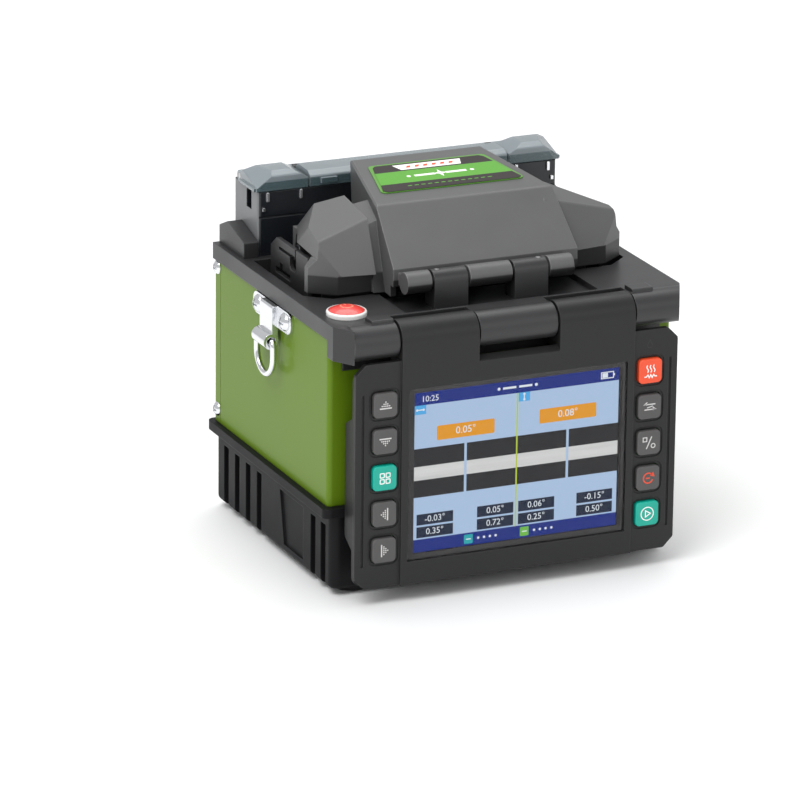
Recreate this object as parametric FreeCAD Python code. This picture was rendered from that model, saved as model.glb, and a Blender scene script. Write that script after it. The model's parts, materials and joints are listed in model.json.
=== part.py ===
import FreeCAD, Part
import math
import os

# Compact optical-fibre fusion splicer. Millimetres, +Z up, +X to the operator's right, -Y to the operator.
# The origin is on the plane the rubber feet stand on, under the middle of the whole depth.

# ---- Main envelope
DECK_Z = 90.0            # top face of the deck
DECK_HALF = 59.75
DECK_FRONT = -44.6
DECK_BACK = 48.7
SKIRT_Z = 84.6           # underside of the deck's flange, where the painted wrap begins
DECK_PLATE = 2.4
FLANGE = 2.25

# ---- Painted sheet-metal body
SHEET = 1.2
WRAP_HALF = 58.8
WRAP_FRONT = -43.6
SEAM_Y = 44.2            # where the wrap ends and the rear cover's returns begin
SEAM_GAP = 0.2
COVER_BACK = 49.8
BODY_Z = 29.7            # top of the base tray's lip
SHEET_BEND = 1.5

# ---- Base tray
LIP_HALF = 61.0
LIP_FRONT = -46.4
LIP_Z = 26.7
BASE_HALF = 57.8
BASE_FRONT = -44.8
BASE_BACK = 51.0
BASE_Z = 2.0
BASE_WALL = 3.2
BASE_FLOOR_Z = 4.2
GROOVE_W = 4.0
GROOVE_DEPTH = 1.6
GROOVE_TOP_Z = 22.5
REAR_GROOVES_Y = [41.6, 32.4, 23.2, 14.0]
FRONT_GROOVES_Y = [-30.0, -38.0]
FOOT_R = 6.5
FOOT_X = 47.5
FOOT_Y = (-36.0, 42.0)
FOOT_SINK = 1.2

# ---- Battery
BATT_HALF = 37.0
BATT_FRONT = -28.0
BATT_Z = (4.5, 25.1)
BAY_GAP = 0.3

# ---- Monitor hinge and monitor
MON_AXIS_Y = -51.0
MON_AXIS_Z = 84.7
BARREL_R = 5.6
TAB_R = 6.0
MON_PIN_R = 2.0
RUNNING = 0.05           # radial clearance of a turning fit
LEFT_BARREL = (-55.4, -40.4)
CENTRE_BARREL = (-13.2, 13.2)
RIGHT_BARREL = (40.4, DECK_HALF)
APRON = (54.5, -43.8, 74.0)          # half width, back face and lower edge of the deck's front apron
TAB_X = (13.8, 39.8)
MON_FRONT = -57.0
MON_HALF = 55.1
MON_TOP = 78.9
MON_BOTTOM = 5.7
CENTRE_HALF = 39.8
EAR_STEP = 0.8           # the ears' face lies this far behind the centre panel
BEZEL_BACK = -54.4
EAR_BACK = -52.8
BULGE_BACK = -47.5
BULGE_Z = (21.0, 58.0)
NOTCH_Z = 76.7
GLASS_HALF = 37.4
GLASS_Z = (13.3, 69.5)
GLASS_T = 1.2
KEY = 8.0
KEY_R = 1.5
KEY_GAP = 0.3
KEY_X = 45.4
KEY_Z = [65.5, 53.7, 41.8, 30.0, 18.1]
KEY_FACE = -57.2
KEY_BACK = -55.1
CENTRE_Y = (KEY_FACE + BASE_BACK) / 2    # middle of the whole depth, moved to Y = 0 on export
EAR_GROOVE_X = 52.6

# ---- Power button
POWER_X = -50.7
POWER_Y = -38.5
POWER_RING_R = 6.4
POWER_SLEEVE_R = 6.05
POWER_BUTTON_R = 5.6
POWER_DOME_Z = 93.0

# ---- Splice chamber tub, sunk in the deck
TUB_HALF = 55.6
TUB_Y = (-22.0, 25.0)
TUB_Z = 80.0
TUB_WALL = 1.6
POCKET_HALF = 33.0       # shallow pocket in front of the tub, under the hood hinge
POCKET_FRONT = -43.6
POCKET_Z = 88.0

# ---- Wind-protector hood
HOOD_AXIS_Y = -35.0
HOOD_AXIS_Z = 96.6
HINGE_R = 3.5
HOOD_PIN_R = 1.2
SET_SCREW_R = 0.8
ARM_X = (8.0, 19.5)
SET_SCREW_X = 17.4          # set screws near the arms' outer ends
OUTER_KNUCKLE_X = (20.3, 28.5)
CENTRE_KNUCKLE = 7.2
HOOD_HINGE_X = -1.4         # the hinge's middle, a little left of the body's
HOOD_WALL = 2.0
HOOD_BOTTOM = 90.6
HOOD_LIP_Y = -31.0
HOOD_LIP_Z = 94.4
HOOD_FRONT_HALF = 31.7
FOLD = (30.4, -14.0, 116.2)          # half width, Y and Z of the fold between front face and top face
BACK_EDGE = (22.7, 24.0, 120.2)      # the same for the top face's back edge
HOOD_SHOULDER = (31.6, -21.0, 110.9)
FOLD_R = 2.5
BACK_EDGE_R = 1.2
SIDE_BEVEL = 0.45        # depth of the bevel along the top's side ridges
RIDGE_R = 1.2

# ---- Wings of the hood, right-hand side
WING_INNER = 34.3        # a groove GROOVE_D deep parts the wing from the middle part as far as this
GROOVE_D = 3.0
LINK_START = 26.0
WING_ROOM_START = 20.0
WING_BACK = 20.0
WING_LEDGE = 96.8        # underside of the upper part, which overhangs the lower front wall
WING_FOOT_TOP = 101.6    # top of the lower walls, and of the opening for the fibre
WING_FOOT_FRONT = -21.4
WING_CORNER = (46.3, 54.0, -15.5)    # the corner facet's two X, and the Y of its outer end
WING_RIDGE = {-1: (FreeCAD.Vector(34.3, -16.5, 113.1), FreeCAD.Vector(51.0, -16.8, 107.2)),
              1: (FreeCAD.Vector(33.5, -17.5, 111.2), FreeCAD.Vector(51.0, -16.9, 106.8))}
NOTCH_X = 44.0
NOTCH_Y = -13.0          # the wings are open for the fibre from here backwards

# ---- Heater
HEATER_HALF = 52.4
HEATER_Y = (28.5, 48.5)
HEATER_Z = 111.0
TROUGH_Y = (32.8, 39.6)
TROUGH_Z = 100.5
END_SLOT_Y = (34.1, 38.1)
END_SLOT_Z = 104.2
TROUGH_HALF = 30.0
TROUGH_T = 0.9
LID_AXIS_Y = 42.8
LID_AXIS_Z = 113.0
LID_KNUCKLE_R = 1.9
LID_PIN_R = 0.9
LID_T = 1.5
LID_HALF = 34.6
LID_KNUCKLE_HALF = 33.0
LID_CROWN = 116.3
LUG_X = (33.3, 34.9)
LUG_CLEARANCE_R = 2.9       # room round the lugs under the ends of the middle lid
CLAMP_X = (35.2, 53.0)
CLAMP_CROWN = 117.6

# ---- Splice point and what surrounds it
SPLICE_Y = 1.0
SPLICE_Z = 95.0
PLATFORM_HALF = 24.0
PLATFORM_Z = 88.0
OPTICS_HALF = 3.9        # half width of the slot the two microscopes look through
OPTICS_REACH = 19.0
LENS_R = 3.2
LENS_START = 10.0
LENS_END = 19.0
ELECTRODE_R = 1.0
ELECTRODE_GAP = 1.0      # from each tip to the splice point
CLAMP_BASE_X = (26.5, 46.0)
CLAMP_AXIS_Y = 11.5
CLAMP_AXIS_Z = 96.0
CLAMP_TOP = 94.0

# ---- Strap lugs and rings
LUG_Y = -1.0
LUG_PLATE_X = 60.0
LUG_Z = (77.2, 84.3)
LUG_SCREW_Y = 10.6       # each side of the lug's middle
EYE_X = 62.2
EYE_Z = 72.8
EYE_HOLE_R = 1.5
EYE_R = 2.6
RING_WIRE_R = 1.0
RING_BOTTOM = 60.2

# ---- Main board and sockets
BOARD_Z = (33.0, 34.6)
BOARD_HALF = 52.0
BOARD_Y = (-40.0, 46.0)
DC_X = 38.0
DC_Z = 40.6
USB_X = 16.0
USB_Z = 38.4


def vec(x, y, z):
    return FreeCAD.Vector(x, y, z)


def box(x0, x1, y0, y1, z0, z1):
    return Part.makeBox(x1 - x0, y1 - y0, z1 - z0, vec(x0, y0, z0))


def rod_x(y, z, radius, x0, x1):
    return Part.makeCylinder(radius, x1 - x0, vec(x0, y, z), vec(1, 0, 0))


def rod_y(x, z, radius, y0, y1):
    return Part.makeCylinder(radius, y1 - y0, vec(x, y0, z), vec(0, 1, 0))


def rod_z(x, y, radius, z0, z1):
    return Part.makeCylinder(radius, z1 - z0, vec(x, y, z0), vec(0, 0, 1))


def prism(points, step):
    """Extrude the closed polygon through points by the vector step."""
    face = Part.Face(Part.makePolygon(points + points[:1]))
    return face.extrude(step)


def prism_x(yz, x0, x1):
    return prism([vec(x0, y, z) for y, z in yz], vec(x1 - x0, 0, 0))


def prism_y(xz, y0, y1):
    return prism([vec(x, y0, z) for x, z in xz], vec(0, y1 - y0, 0))


def prism_z(xy, z0, z1):
    return prism([vec(x, y, z0) for x, y in xy], vec(0, 0, z1 - z0))


def fuse(*shapes):
    first = shapes[0].multiFuse(list(shapes[1:]))
    return first.removeSplitter()


def cut(shape, *tools):
    return shape.cut(list(tools))


def mirror_x(shape):
    return shape.mirror(vec(0, 0, 0), vec(1, 0, 0))


def straight_edges(shape, direction, where):
    """Straight edges parallel to direction whose middle passes the test where."""
    found = []
    for edge in shape.Edges:
        if edge.Curve.TypeId != "Part::GeomLine":
            continue
        along = edge.tangentAt(edge.FirstParameter)
        middle = edge.valueAt((edge.FirstParameter + edge.LastParameter) / 2)
        if abs(along.dot(direction)) > 0.999 and where(middle):
            found.append(edge)
    return found


def round_edges(shape, radius, direction, where=lambda point: True):
    return shape.makeFillet(radius, straight_edges(shape, direction, where))


def half_space(point, normal):
    """A large block that fills the side of the plane that the normal points to."""
    size = 400.0
    block = Part.makeBox(size, size, size, vec(-size / 2, -size / 2, 0))
    block.Placement = FreeCAD.Placement(point, FreeCAD.Rotation(vec(0, 0, 1), normal))
    return block


def plane_through(a, b, c):
    """Point and unit normal of the plane through three points, counter-clockwise seen from outside."""
    normal = (b - a).cross(c - a)
    normal.normalize()
    return a, normal


def facet_block(block, planes, inset):
    """Cut the block back to the inner side of each plane moved inwards by inset."""
    cutters = [half_space(point - normal * inset, normal) for point, normal in planes]
    return block.cut(cutters)


# ---------------------------------------------------------------- chassis

def base_side_grooves():
    grooves = []
    for y in REAR_GROOVES_Y + FRONT_GROOVES_Y:
        groove = box(BASE_HALF - GROOVE_DEPTH, BASE_HALF + 1, y - GROOVE_W / 2, y + GROOVE_W / 2,
                     BASE_Z - 1, GROOVE_TOP_Z)
        grooves += [groove, mirror_x(groove)]
    return grooves


def base_side_panel():
    """Shallow plain panel in each side wall, with its rear edge leaning forwards as it drops."""
    depth = 0.7
    outline = [(-22.0, BASE_Z + 3), (-22.0, GROOVE_TOP_Z), (-3.0, GROOVE_TOP_Z), (-6.5, BASE_Z + 3)]
    panel = prism_x(outline, BASE_HALF - depth, BASE_HALF + 1)
    return [panel, mirror_x(panel)]


def board_posts():
    spots = [(x, y) for x in (-48.0, 48.0) for y in (-36.0, 42.0)]
    return [rod_z(x, y, 3.0, BASE_FLOOR_Z - 0.5, BOARD_Z[0]) for x, y in spots]


def battery_rails():
    inner = BATT_HALF + BAY_GAP
    rail = box(inner, inner + 2.0, BATT_FRONT - 2.0, BASE_BACK - BASE_WALL, BASE_FLOOR_Z - 0.5, 15.0)
    return [rail, mirror_x(rail)]


def base_tray():
    lip = box(-LIP_HALF, LIP_HALF, LIP_FRONT, BASE_BACK, LIP_Z, BODY_Z)
    lip = round_edges(lip, 2.5, vec(0, 0, 1))
    tray = box(-BASE_HALF, BASE_HALF, BASE_FRONT, BASE_BACK, BASE_Z, LIP_Z)
    tray = round_edges(tray, 3.0, vec(0, 0, 1))
    lower_rim = [edge for edge in tray.Edges if max(v.Z for v in edge.Vertexes) < BASE_Z + 0.1]
    tray = tray.makeFillet(2.0, lower_rim)
    hollow = box(-BASE_HALF + BASE_WALL, BASE_HALF - BASE_WALL, BASE_FRONT + BASE_WALL,
                 BASE_BACK - BASE_WALL, BASE_FLOOR_Z, BODY_Z + 1)
    tray = cut(fuse(tray, lip), hollow, *base_side_grooves(), *base_side_panel())
    tray = fuse(tray, *board_posts(), *battery_rails())
    mouth = box(-BATT_HALF - BAY_GAP, BATT_HALF + BAY_GAP, BASE_BACK - BASE_WALL - 1, BASE_BACK + 1,
                BATT_Z[0] - 0.2, BATT_Z[1] + BAY_GAP)
    sockets = [rod_z(x, y, FOOT_R, BASE_Z - 1, BASE_Z + FOOT_SINK)
               for x in (-FOOT_X, FOOT_X) for y in FOOT_Y]
    return cut(tray, mouth, *sockets)


def rubber_feet():
    feet = []
    for x in (-FOOT_X, FOOT_X):
        for y in FOOT_Y:
            foot = rod_z(x, y, FOOT_R, 0, BASE_Z + FOOT_SINK)
            rim = [edge for edge in foot.Edges if edge.Vertexes[0].Z < 0.1 and edge.Vertexes[-1].Z < 0.1]
            feet.append(foot.makeFillet(0.8, rim))
    return Part.makeCompound(feet)


def side_screw_holes():
    """Holes through each side sheet for the strap lug's two screws."""
    return [rod_x(LUG_Y + side * LUG_SCREW_Y, sum(LUG_Z) / 2, 1.6, x0, x0 + 4)
            for side in (-1, 1) for x0 in (-WRAP_HALF - 1, WRAP_HALF - 3)]


def body_wrap():
    outer = box(-WRAP_HALF, WRAP_HALF, WRAP_FRONT, SEAM_Y, BODY_Z, SKIRT_Z)
    outer = round_edges(outer, SHEET_BEND, vec(0, 0, 1), lambda p: p.y < 0)
    inner = box(-WRAP_HALF + SHEET, WRAP_HALF - SHEET, WRAP_FRONT + SHEET, SEAM_Y + 1,
                BODY_Z - 1, SKIRT_Z + 1)
    return cut(outer, inner, *side_screw_holes())


def cover_screw_spots():
    return [(side, 46.9, z) for side in (-1, 1) for z in (82.0, 34.0)]


def rear_cover():
    outer = box(-WRAP_HALF, WRAP_HALF, SEAM_Y + SEAM_GAP, COVER_BACK, BODY_Z, SKIRT_Z)
    outer = round_edges(outer, SHEET_BEND, vec(0, 0, 1), lambda p: p.y > SEAM_Y + 1)
    inner = box(-WRAP_HALF + SHEET, WRAP_HALF - SHEET, SEAM_Y - 1, COVER_BACK - SHEET,
                BODY_Z - 1, SKIRT_Z + 1)
    tools = [inner, rod_y(DC_X, DC_Z, 4.2, COVER_BACK - 3, COVER_BACK + 1),
             box(USB_X - 6.3, USB_X + 6.3, COVER_BACK - 3, COVER_BACK + 1, USB_Z - 2.6, USB_Z + 2.6)]
    for side, y, z in cover_screw_spots():
        tools.append(rod_x(y, z, 1.3, side * WRAP_HALF - 2, side * WRAP_HALF + 2))
    for row in range(5):
        z = 52.0 + row * 4.5
        tools.append(box(-44.0, -16.0, COVER_BACK - 3, COVER_BACK + 1, z, z + 1.8))
    return cut(outer, *tools)


def dome_screw(x_face, y, z, side, head_r, head_h, shank_r, shank_length):
    """Phillips dome-head screw whose head stands on the face X = side * x_face."""
    radius = (head_r ** 2 + head_h ** 2) / (2 * head_h)
    head = Part.makeSphere(radius, vec(x_face + head_h - radius, y, z))
    head = cut(head, half_space(vec(x_face, y, z), vec(-1, 0, 0)))
    shank = rod_x(y, z, shank_r, x_face - shank_length, x_face)
    arm = head_r * 0.6
    slot_depth = head_h * 0.6
    slots = [box(x_face + head_h - slot_depth, x_face + head_h + 1, y - a, y + a, z - b, z + b)
             for a, b in ((arm, 0.35), (0.35, arm))]
    screw = cut(fuse(head, shank), *slots)
    return screw if side > 0 else mirror_x(screw)


def cover_screws():
    return Part.makeCompound([dome_screw(WRAP_HALF, y, z, side, 2.4, 1.5, 1.3, 1.2)
                              for side, y, z in cover_screw_spots()])


def lug_screws():
    z = sum(LUG_Z) / 2
    return Part.makeCompound([dome_screw(LUG_PLATE_X, LUG_Y + end * LUG_SCREW_Y, z, side, 3.0, 1.9, 1.5, 2.4)
                              for side in (-1, 1) for end in (-1, 1)])


# ---------------------------------------------------------------- deck

def hinge_block(x0, x1):
    """One fixed barrel of the monitor hinge and the web that joins it to the deck."""
    barrel = rod_x(MON_AXIS_Y, MON_AXIS_Z, BARREL_R, x0, x1)
    web = box(x0, x1, MON_AXIS_Y, DECK_FRONT + 0.1, MON_AXIS_Z - BARREL_R, DECK_Z)
    return fuse(barrel, web)


def corner_chamfer():
    """Bevelled block that closes the left front corner beside the hinge barrel."""
    return prism_z([(-DECK_HALF, DECK_FRONT + 0.1), (-DECK_HALF, -49.0), (LEFT_BARREL[0], -55.9),
                    (LEFT_BARREL[0], DECK_FRONT + 0.1)], MON_AXIS_Z - BARREL_R, DECK_Z)


def right_hinge_block():
    """The outer right barrel, whose end is cut off along the same bevel as the left corner."""
    block = hinge_block(*RIGHT_BARREL)
    bevel = plane_through(vec(DECK_HALF, -47.2, 0), vec(DECK_HALF, -47.2, 10),
                          vec(-LEFT_BARREL[0], -56.1, 10))
    return facet_block(block, [bevel], 0.0)


def front_apron():
    half, back, low = APRON
    return box(-half, half, DECK_FRONT, back, low, SKIRT_Z + 0.1)


def stop_bosses():
    top = DECK_Z + 1.4
    boss = box(40.8, 48.0, MON_AXIS_Y - 1.0, MON_AXIS_Y + 4.5, DECK_Z - 2, top)
    boss = round_edges(boss, 0.6, vec(1, 0, 0), lambda p: p.z > top - 0.1)
    return [boss, mirror_x(boss)]


def in_hood_hinge(shapes):
    """Moves shapes that were made about X = 0 to the hood hinge's own middle."""
    moved = []
    for shape in shapes:
        shape = shape.copy()
        shape.translate(vec(HOOD_HINGE_X, 0, 0))
        moved.append(shape)
    return moved


def hinge_arm():
    """Fixed arm that carries the hood pin, standing in the pocket."""
    x0, x1 = ARM_X
    eye = rod_x(HOOD_AXIS_Y, HOOD_AXIS_Z, HINGE_R, x0, x1)
    post = box(x0, x1, HOOD_AXIS_Y - HINGE_R, HOOD_AXIS_Y + HINGE_R, POCKET_Z - 0.5, HOOD_AXIS_Z)
    socket = rod_z(SET_SCREW_X, HOOD_AXIS_Y, SET_SCREW_R, HOOD_AXIS_Z, HOOD_AXIS_Z + HINGE_R + 1)
    return cut(fuse(eye, post), socket)


def deck_cutters():
    floor_slot = box(-OPTICS_HALF, OPTICS_HALF, SPLICE_Y - OPTICS_REACH, SPLICE_Y + OPTICS_REACH,
                     TUB_Z - TUB_WALL - 1, TUB_Z + 1)
    pin_holes = [rod_x(MON_AXIS_Y, MON_AXIS_Z, MON_PIN_R, 6.0, 50.0),
                 rod_x(MON_AXIS_Y, MON_AXIS_Z, MON_PIN_R, -50.0, -6.0),
                 rod_x(HOOD_AXIS_Y, HOOD_AXIS_Z, HOOD_PIN_R, -28.0, 28.0)]
    power_hole = rod_z(POWER_X, POWER_Y, POWER_SLEEVE_R, SKIRT_Z, DECK_Z + 1)
    return [floor_slot, power_hole] + pin_holes


def tub_room():
    """Room of the splice chamber, with its front outer corners cut off under the wings' corners."""
    x0, x1 = 47.0, TUB_HALF + 1
    y0, y1 = TUB_Y[0] - 1, TUB_Y[0] + 7.4
    corner = prism_z([(x0, y0), (x1, y0), (x1, y1)], TUB_Z - 1, DECK_Z + 2)
    room = box(-TUB_HALF, TUB_HALF, TUB_Y[0], TUB_Y[1], TUB_Z, DECK_Z + 1)
    return cut(room, corner, mirror_x(corner))


def top_deck():
    slab = box(-DECK_HALF, DECK_HALF, DECK_FRONT, DECK_BACK, SKIRT_Z, DECK_Z)
    under = box(-DECK_HALF + FLANGE, DECK_HALF - FLANGE, DECK_FRONT + FLANGE, DECK_BACK - FLANGE,
                SKIRT_Z - 1, DECK_Z - DECK_PLATE)
    slab = cut(slab, under)
    tub = box(-TUB_HALF - TUB_WALL, TUB_HALF + TUB_WALL, TUB_Y[0] - TUB_WALL, TUB_Y[1] + TUB_WALL,
              TUB_Z - TUB_WALL, DECK_Z)
    pocket_body = box(-POCKET_HALF - TUB_WALL, POCKET_HALF + TUB_WALL, DECK_FRONT + 1, TUB_Y[0],
                      POCKET_Z - DECK_PLATE, DECK_Z)
    deck = fuse(slab, tub, pocket_body, hinge_block(*LEFT_BARREL), hinge_block(*CENTRE_BARREL),
                right_hinge_block(), corner_chamfer(), front_apron(), *stop_bosses())
    deck = cut(deck, tub_room(),
               box(-POCKET_HALF, POCKET_HALF, POCKET_FRONT, TUB_Y[0] + 1, POCKET_Z, DECK_Z + 1))
    arm = hinge_arm()
    return cut(fuse(deck, *in_hood_hinge([arm, mirror_x(arm)])), *deck_cutters())


def monitor_pins():
    pin = rod_x(MON_AXIS_Y, MON_AXIS_Z, MON_PIN_R, 6.0, 50.0)
    return Part.makeCompound([pin, mirror_x(pin)])


def hood_pin():
    return in_hood_hinge([rod_x(HOOD_AXIS_Y, HOOD_AXIS_Z, HOOD_PIN_R, -27.8, 27.8)])[0]


def hinge_set_screws():
    screw = rod_z(SET_SCREW_X, HOOD_AXIS_Y, SET_SCREW_R, HOOD_AXIS_Z + HOOD_PIN_R + 0.02,
                  HOOD_AXIS_Z + HINGE_R - 0.05)
    return Part.makeCompound(in_hood_hinge([screw, mirror_x(screw)]))


def power_ring():
    flange_z = DECK_Z + 1.6
    flange = rod_z(POWER_X, POWER_Y, POWER_RING_R, DECK_Z, flange_z)
    flange = flange.makeFillet(0.6, [e for e in flange.Edges if e.Vertexes[0].Z > flange_z - 0.1
                                     and e.Vertexes[-1].Z > flange_z - 0.1])
    sleeve = rod_z(POWER_X, POWER_Y, POWER_SLEEVE_R, SKIRT_Z, DECK_Z)
    bore = rod_z(POWER_X, POWER_Y, POWER_BUTTON_R + 0.1, SKIRT_Z - 1, flange_z + 1)
    return cut(fuse(flange, sleeve), bore)


def power_button():
    shoulder_z = DECK_Z + 1.5
    rise = POWER_DOME_Z - shoulder_z
    radius = (POWER_BUTTON_R ** 2 + rise ** 2) / (2 * rise)
    dome = Part.makeSphere(radius, vec(POWER_X, POWER_Y, POWER_DOME_Z - radius))
    stem = rod_z(POWER_X, POWER_Y, POWER_BUTTON_R, SKIRT_Z + 1, POWER_DOME_Z + 1)
    floor = half_space(vec(POWER_X, POWER_Y, shoulder_z), vec(0, 0, -1))
    cap = stem.common(cut(dome, floor))
    return fuse(cap, rod_z(POWER_X, POWER_Y, POWER_BUTTON_R, SKIRT_Z + 1, shoulder_z))


# ---------------------------------------------------------------- strap lugs

def lug_eye_block():
    """Raised strap in the middle of the lug, curled at its foot into the eye that holds the ring."""
    half = 5.0
    strap = box(LUG_PLATE_X - 0.1, LUG_PLATE_X + 2.0, LUG_Y - half, LUG_Y + half, EYE_Z, LUG_Z[1])
    strap = round_edges(strap, 0.8, vec(0, 1, 0), lambda p: p.x > LUG_PLATE_X + 1.9 and p.z > EYE_Z + 1)
    curl = rod_y(EYE_X, EYE_Z, EYE_R, LUG_Y - half, LUG_Y + half)
    keep = half_space(vec(LUG_PLATE_X - 0.2, 0, 0), vec(-1, 0, 0))
    hole = rod_y(EYE_X, EYE_Z, EYE_HOLE_R, LUG_Y - half - 1, LUG_Y + half + 1)
    return cut(fuse(strap, cut(curl, keep)), hole)


def strap_lug():
    half = LUG_SCREW_Y + 4.6
    plate = box(WRAP_HALF, LUG_PLATE_X, LUG_Y - half, LUG_Y + half, LUG_Z[0], LUG_Z[1])
    plate = round_edges(plate, 3.0, vec(1, 0, 0))
    holes = [rod_x(LUG_Y + end * LUG_SCREW_Y, sum(LUG_Z) / 2, 1.6, WRAP_HALF - 1, LUG_PLATE_X + 1)
             for end in (-1, 1)]
    return cut(fuse(plate, lug_eye_block()), *holes)


def strap_ring():
    """D-shaped wire ring: a straight bar in the eye and a round bow that hangs below it."""
    half = 6.6
    corner = 1.6
    low = RING_BOTTOM + RING_WIRE_R
    shoulder = low + half
    a = vec(EYE_X, LUG_Y - half + corner, EYE_Z)
    b = vec(EYE_X, LUG_Y + half - corner, EYE_Z)
    diagonal = corner * (1 - math.sqrt(0.5))
    c = vec(EYE_X, LUG_Y + half, EYE_Z - corner)
    d = vec(EYE_X, LUG_Y + half, shoulder)
    e = vec(EYE_X, LUG_Y - half, shoulder)
    f = vec(EYE_X, LUG_Y - half, EYE_Z - corner)
    right_bend = vec(EYE_X, LUG_Y + half - diagonal, EYE_Z - diagonal)
    left_bend = vec(EYE_X, LUG_Y - half + diagonal, EYE_Z - diagonal)
    path = Part.Wire([Part.LineSegment(a, b).toShape(), Part.Arc(b, right_bend, c).toShape(),
                      Part.LineSegment(c, d).toShape(), Part.Arc(d, vec(EYE_X, LUG_Y, low), e).toShape(),
                      Part.LineSegment(e, f).toShape(), Part.Arc(f, left_bend, a).toShape()])
    section = Part.Wire(Part.makeCircle(RING_WIRE_R, a, vec(0, 1, 0)))
    return Part.Solid(path.makePipeShell([section], True, False))


# ---------------------------------------------------------------- monitor

def monitor_tab():
    x0, x1 = TAB_X
    eye = rod_x(MON_AXIS_Y, MON_AXIS_Z, TAB_R, x0, x1)
    web = box(x0, x1, MON_FRONT, MON_AXIS_Y + 3.0, MON_TOP - 3, MON_AXIS_Z)
    return fuse(eye, web)


def key_spots():
    return [(side * KEY_X, z) for side in (-1, 1) for z in KEY_Z]


def key_block(x, z, size, radius, y0, y1):
    block = box(x - size / 2, x + size / 2, y0, y1, z - size / 2, z + size / 2)
    return round_edges(block, radius, vec(0, 1, 0))


def bezel_cutters():
    window = box(-GLASS_HALF - 0.1, GLASS_HALF + 0.1, MON_FRONT - 1, BEZEL_BACK + 1,
                 GLASS_Z[0] - 0.1, GLASS_Z[1] + 0.1)
    pins = [rod_x(MON_AXIS_Y, MON_AXIS_Z, MON_PIN_R + RUNNING, x0, x1)
            for x0, x1 in ((TAB_X[0] - 1, TAB_X[1] + 1), (-TAB_X[1] - 1, -TAB_X[0] + 1))]
    keys = [key_block(x, z, KEY + 2 * KEY_GAP, KEY_R + KEY_GAP, MON_FRONT - 1, BEZEL_BACK + 1)
            for x, z in key_spots()]
    dishes = [key_block(x, z, KEY + 2.2, KEY_R + 1.0, MON_FRONT - 1, MON_FRONT + EAR_STEP + 0.4)
              for x, z in key_spots()]
    grooves = [box(side * EAR_GROOVE_X - 0.45, side * EAR_GROOVE_X + 0.45, MON_FRONT - 1,
                   MON_FRONT + EAR_STEP + 0.6, 13.0, 69.1) for side in (-1, 1)]
    return [window] + pins + keys + dishes + grooves


def ear_plate():
    """Full-width plate behind the raised centre panel, with bevelled corners."""
    bevel = 3.4
    outline = [(-MON_HALF + bevel, MON_BOTTOM), (MON_HALF - bevel, MON_BOTTOM),
               (MON_HALF, MON_BOTTOM + bevel), (MON_HALF, MON_TOP - bevel),
               (MON_HALF - bevel, MON_TOP), (-MON_HALF + bevel, MON_TOP),
               (-MON_HALF, MON_TOP - bevel), (-MON_HALF, MON_BOTTOM + bevel)]
    plate = prism_y(outline, MON_FRONT + EAR_STEP, BEZEL_BACK)
    return round_edges(plate, 1.2, vec(0, 1, 0))


def monitor_bezel():
    centre = box(-CENTRE_HALF, CENTRE_HALF, MON_FRONT, BEZEL_BACK, MON_BOTTOM, MON_TOP)
    tab = monitor_tab()
    bezel = fuse(ear_plate(), centre, tab, mirror_x(tab))
    notch = prism_x([(MON_FRONT - 1, NOTCH_Z - 0.8), (MON_FRONT, NOTCH_Z - 0.8), (EAR_BACK, MON_TOP - 0.6),
                     (EAR_BACK, MON_TOP + 8), (MON_FRONT - 1, MON_TOP + 8)], -TAB_X[0], TAB_X[0])
    return cut(bezel, notch, *bezel_cutters())


def monitor_back():
    bevel = 3.0
    edge = MON_HALF - 0.4
    cover = box(-edge, edge, BEZEL_BACK, EAR_BACK, MON_BOTTOM + 0.6, MON_TOP - 3)
    cover = round_edges(cover, 3.0, vec(0, 1, 0))
    bulge = prism_x([(EAR_BACK, BULGE_Z[0] - bevel), (BULGE_BACK, BULGE_Z[0]), (BULGE_BACK, BULGE_Z[1]),
                     (EAR_BACK, BULGE_Z[1] + bevel)], -edge, edge)
    bulge = round_edges(bulge, 2.0, vec(1, 0, 0), lambda p: p.y > BULGE_BACK - 0.1)
    pocket = box(-53.4, 53.4, BEZEL_BACK - 1, BEZEL_BACK + 0.9, 10.0, 72.5)
    cavity = box(-50.0, 50.0, BEZEL_BACK, BULGE_BACK - 1.6, BULGE_Z[0], BULGE_Z[1])
    return cut(fuse(cover, bulge), pocket, cavity)


def screen_glass():
    glass = box(-GLASS_HALF, GLASS_HALF, MON_FRONT + 0.1, MON_FRONT + 0.1 + GLASS_T, GLASS_Z[0], GLASS_Z[1])
    return round_edges(glass, 0.6, vec(0, 1, 0))


def lcd_panel():
    front = MON_FRONT + 0.1 + GLASS_T
    return box(-GLASS_HALF, GLASS_HALF, front, BEZEL_BACK + 0.7, GLASS_Z[0], GLASS_Z[1])


def control_boards():
    """Display driver board in the bulge and one strip of switches behind each column of keys."""
    driver = box(-34.0, 34.0, -51.6, -50.2, 24.0, 55.0)
    chips = [box(x, x + 12, -50.2, -49.4, 30.0, 42.0) for x in (-24.0, 6.0)]
    strip = box(41.0, 50.0, BEZEL_BACK + 0.1, BEZEL_BACK + 0.8, 12.0, 71.0)
    return Part.makeCompound([fuse(driver, *chips), strip, mirror_x(strip)])


def key_cap(x, z):
    cap = key_block(x, z, KEY, KEY_R, KEY_FACE, KEY_BACK)
    rim = [edge for edge in cap.Edges if all(abs(v.Y - KEY_FACE) < 0.01 for v in edge.Vertexes)]
    return cap.makeFillet(0.4, rim)


# ---------------------------------------------------------------- hood

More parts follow.
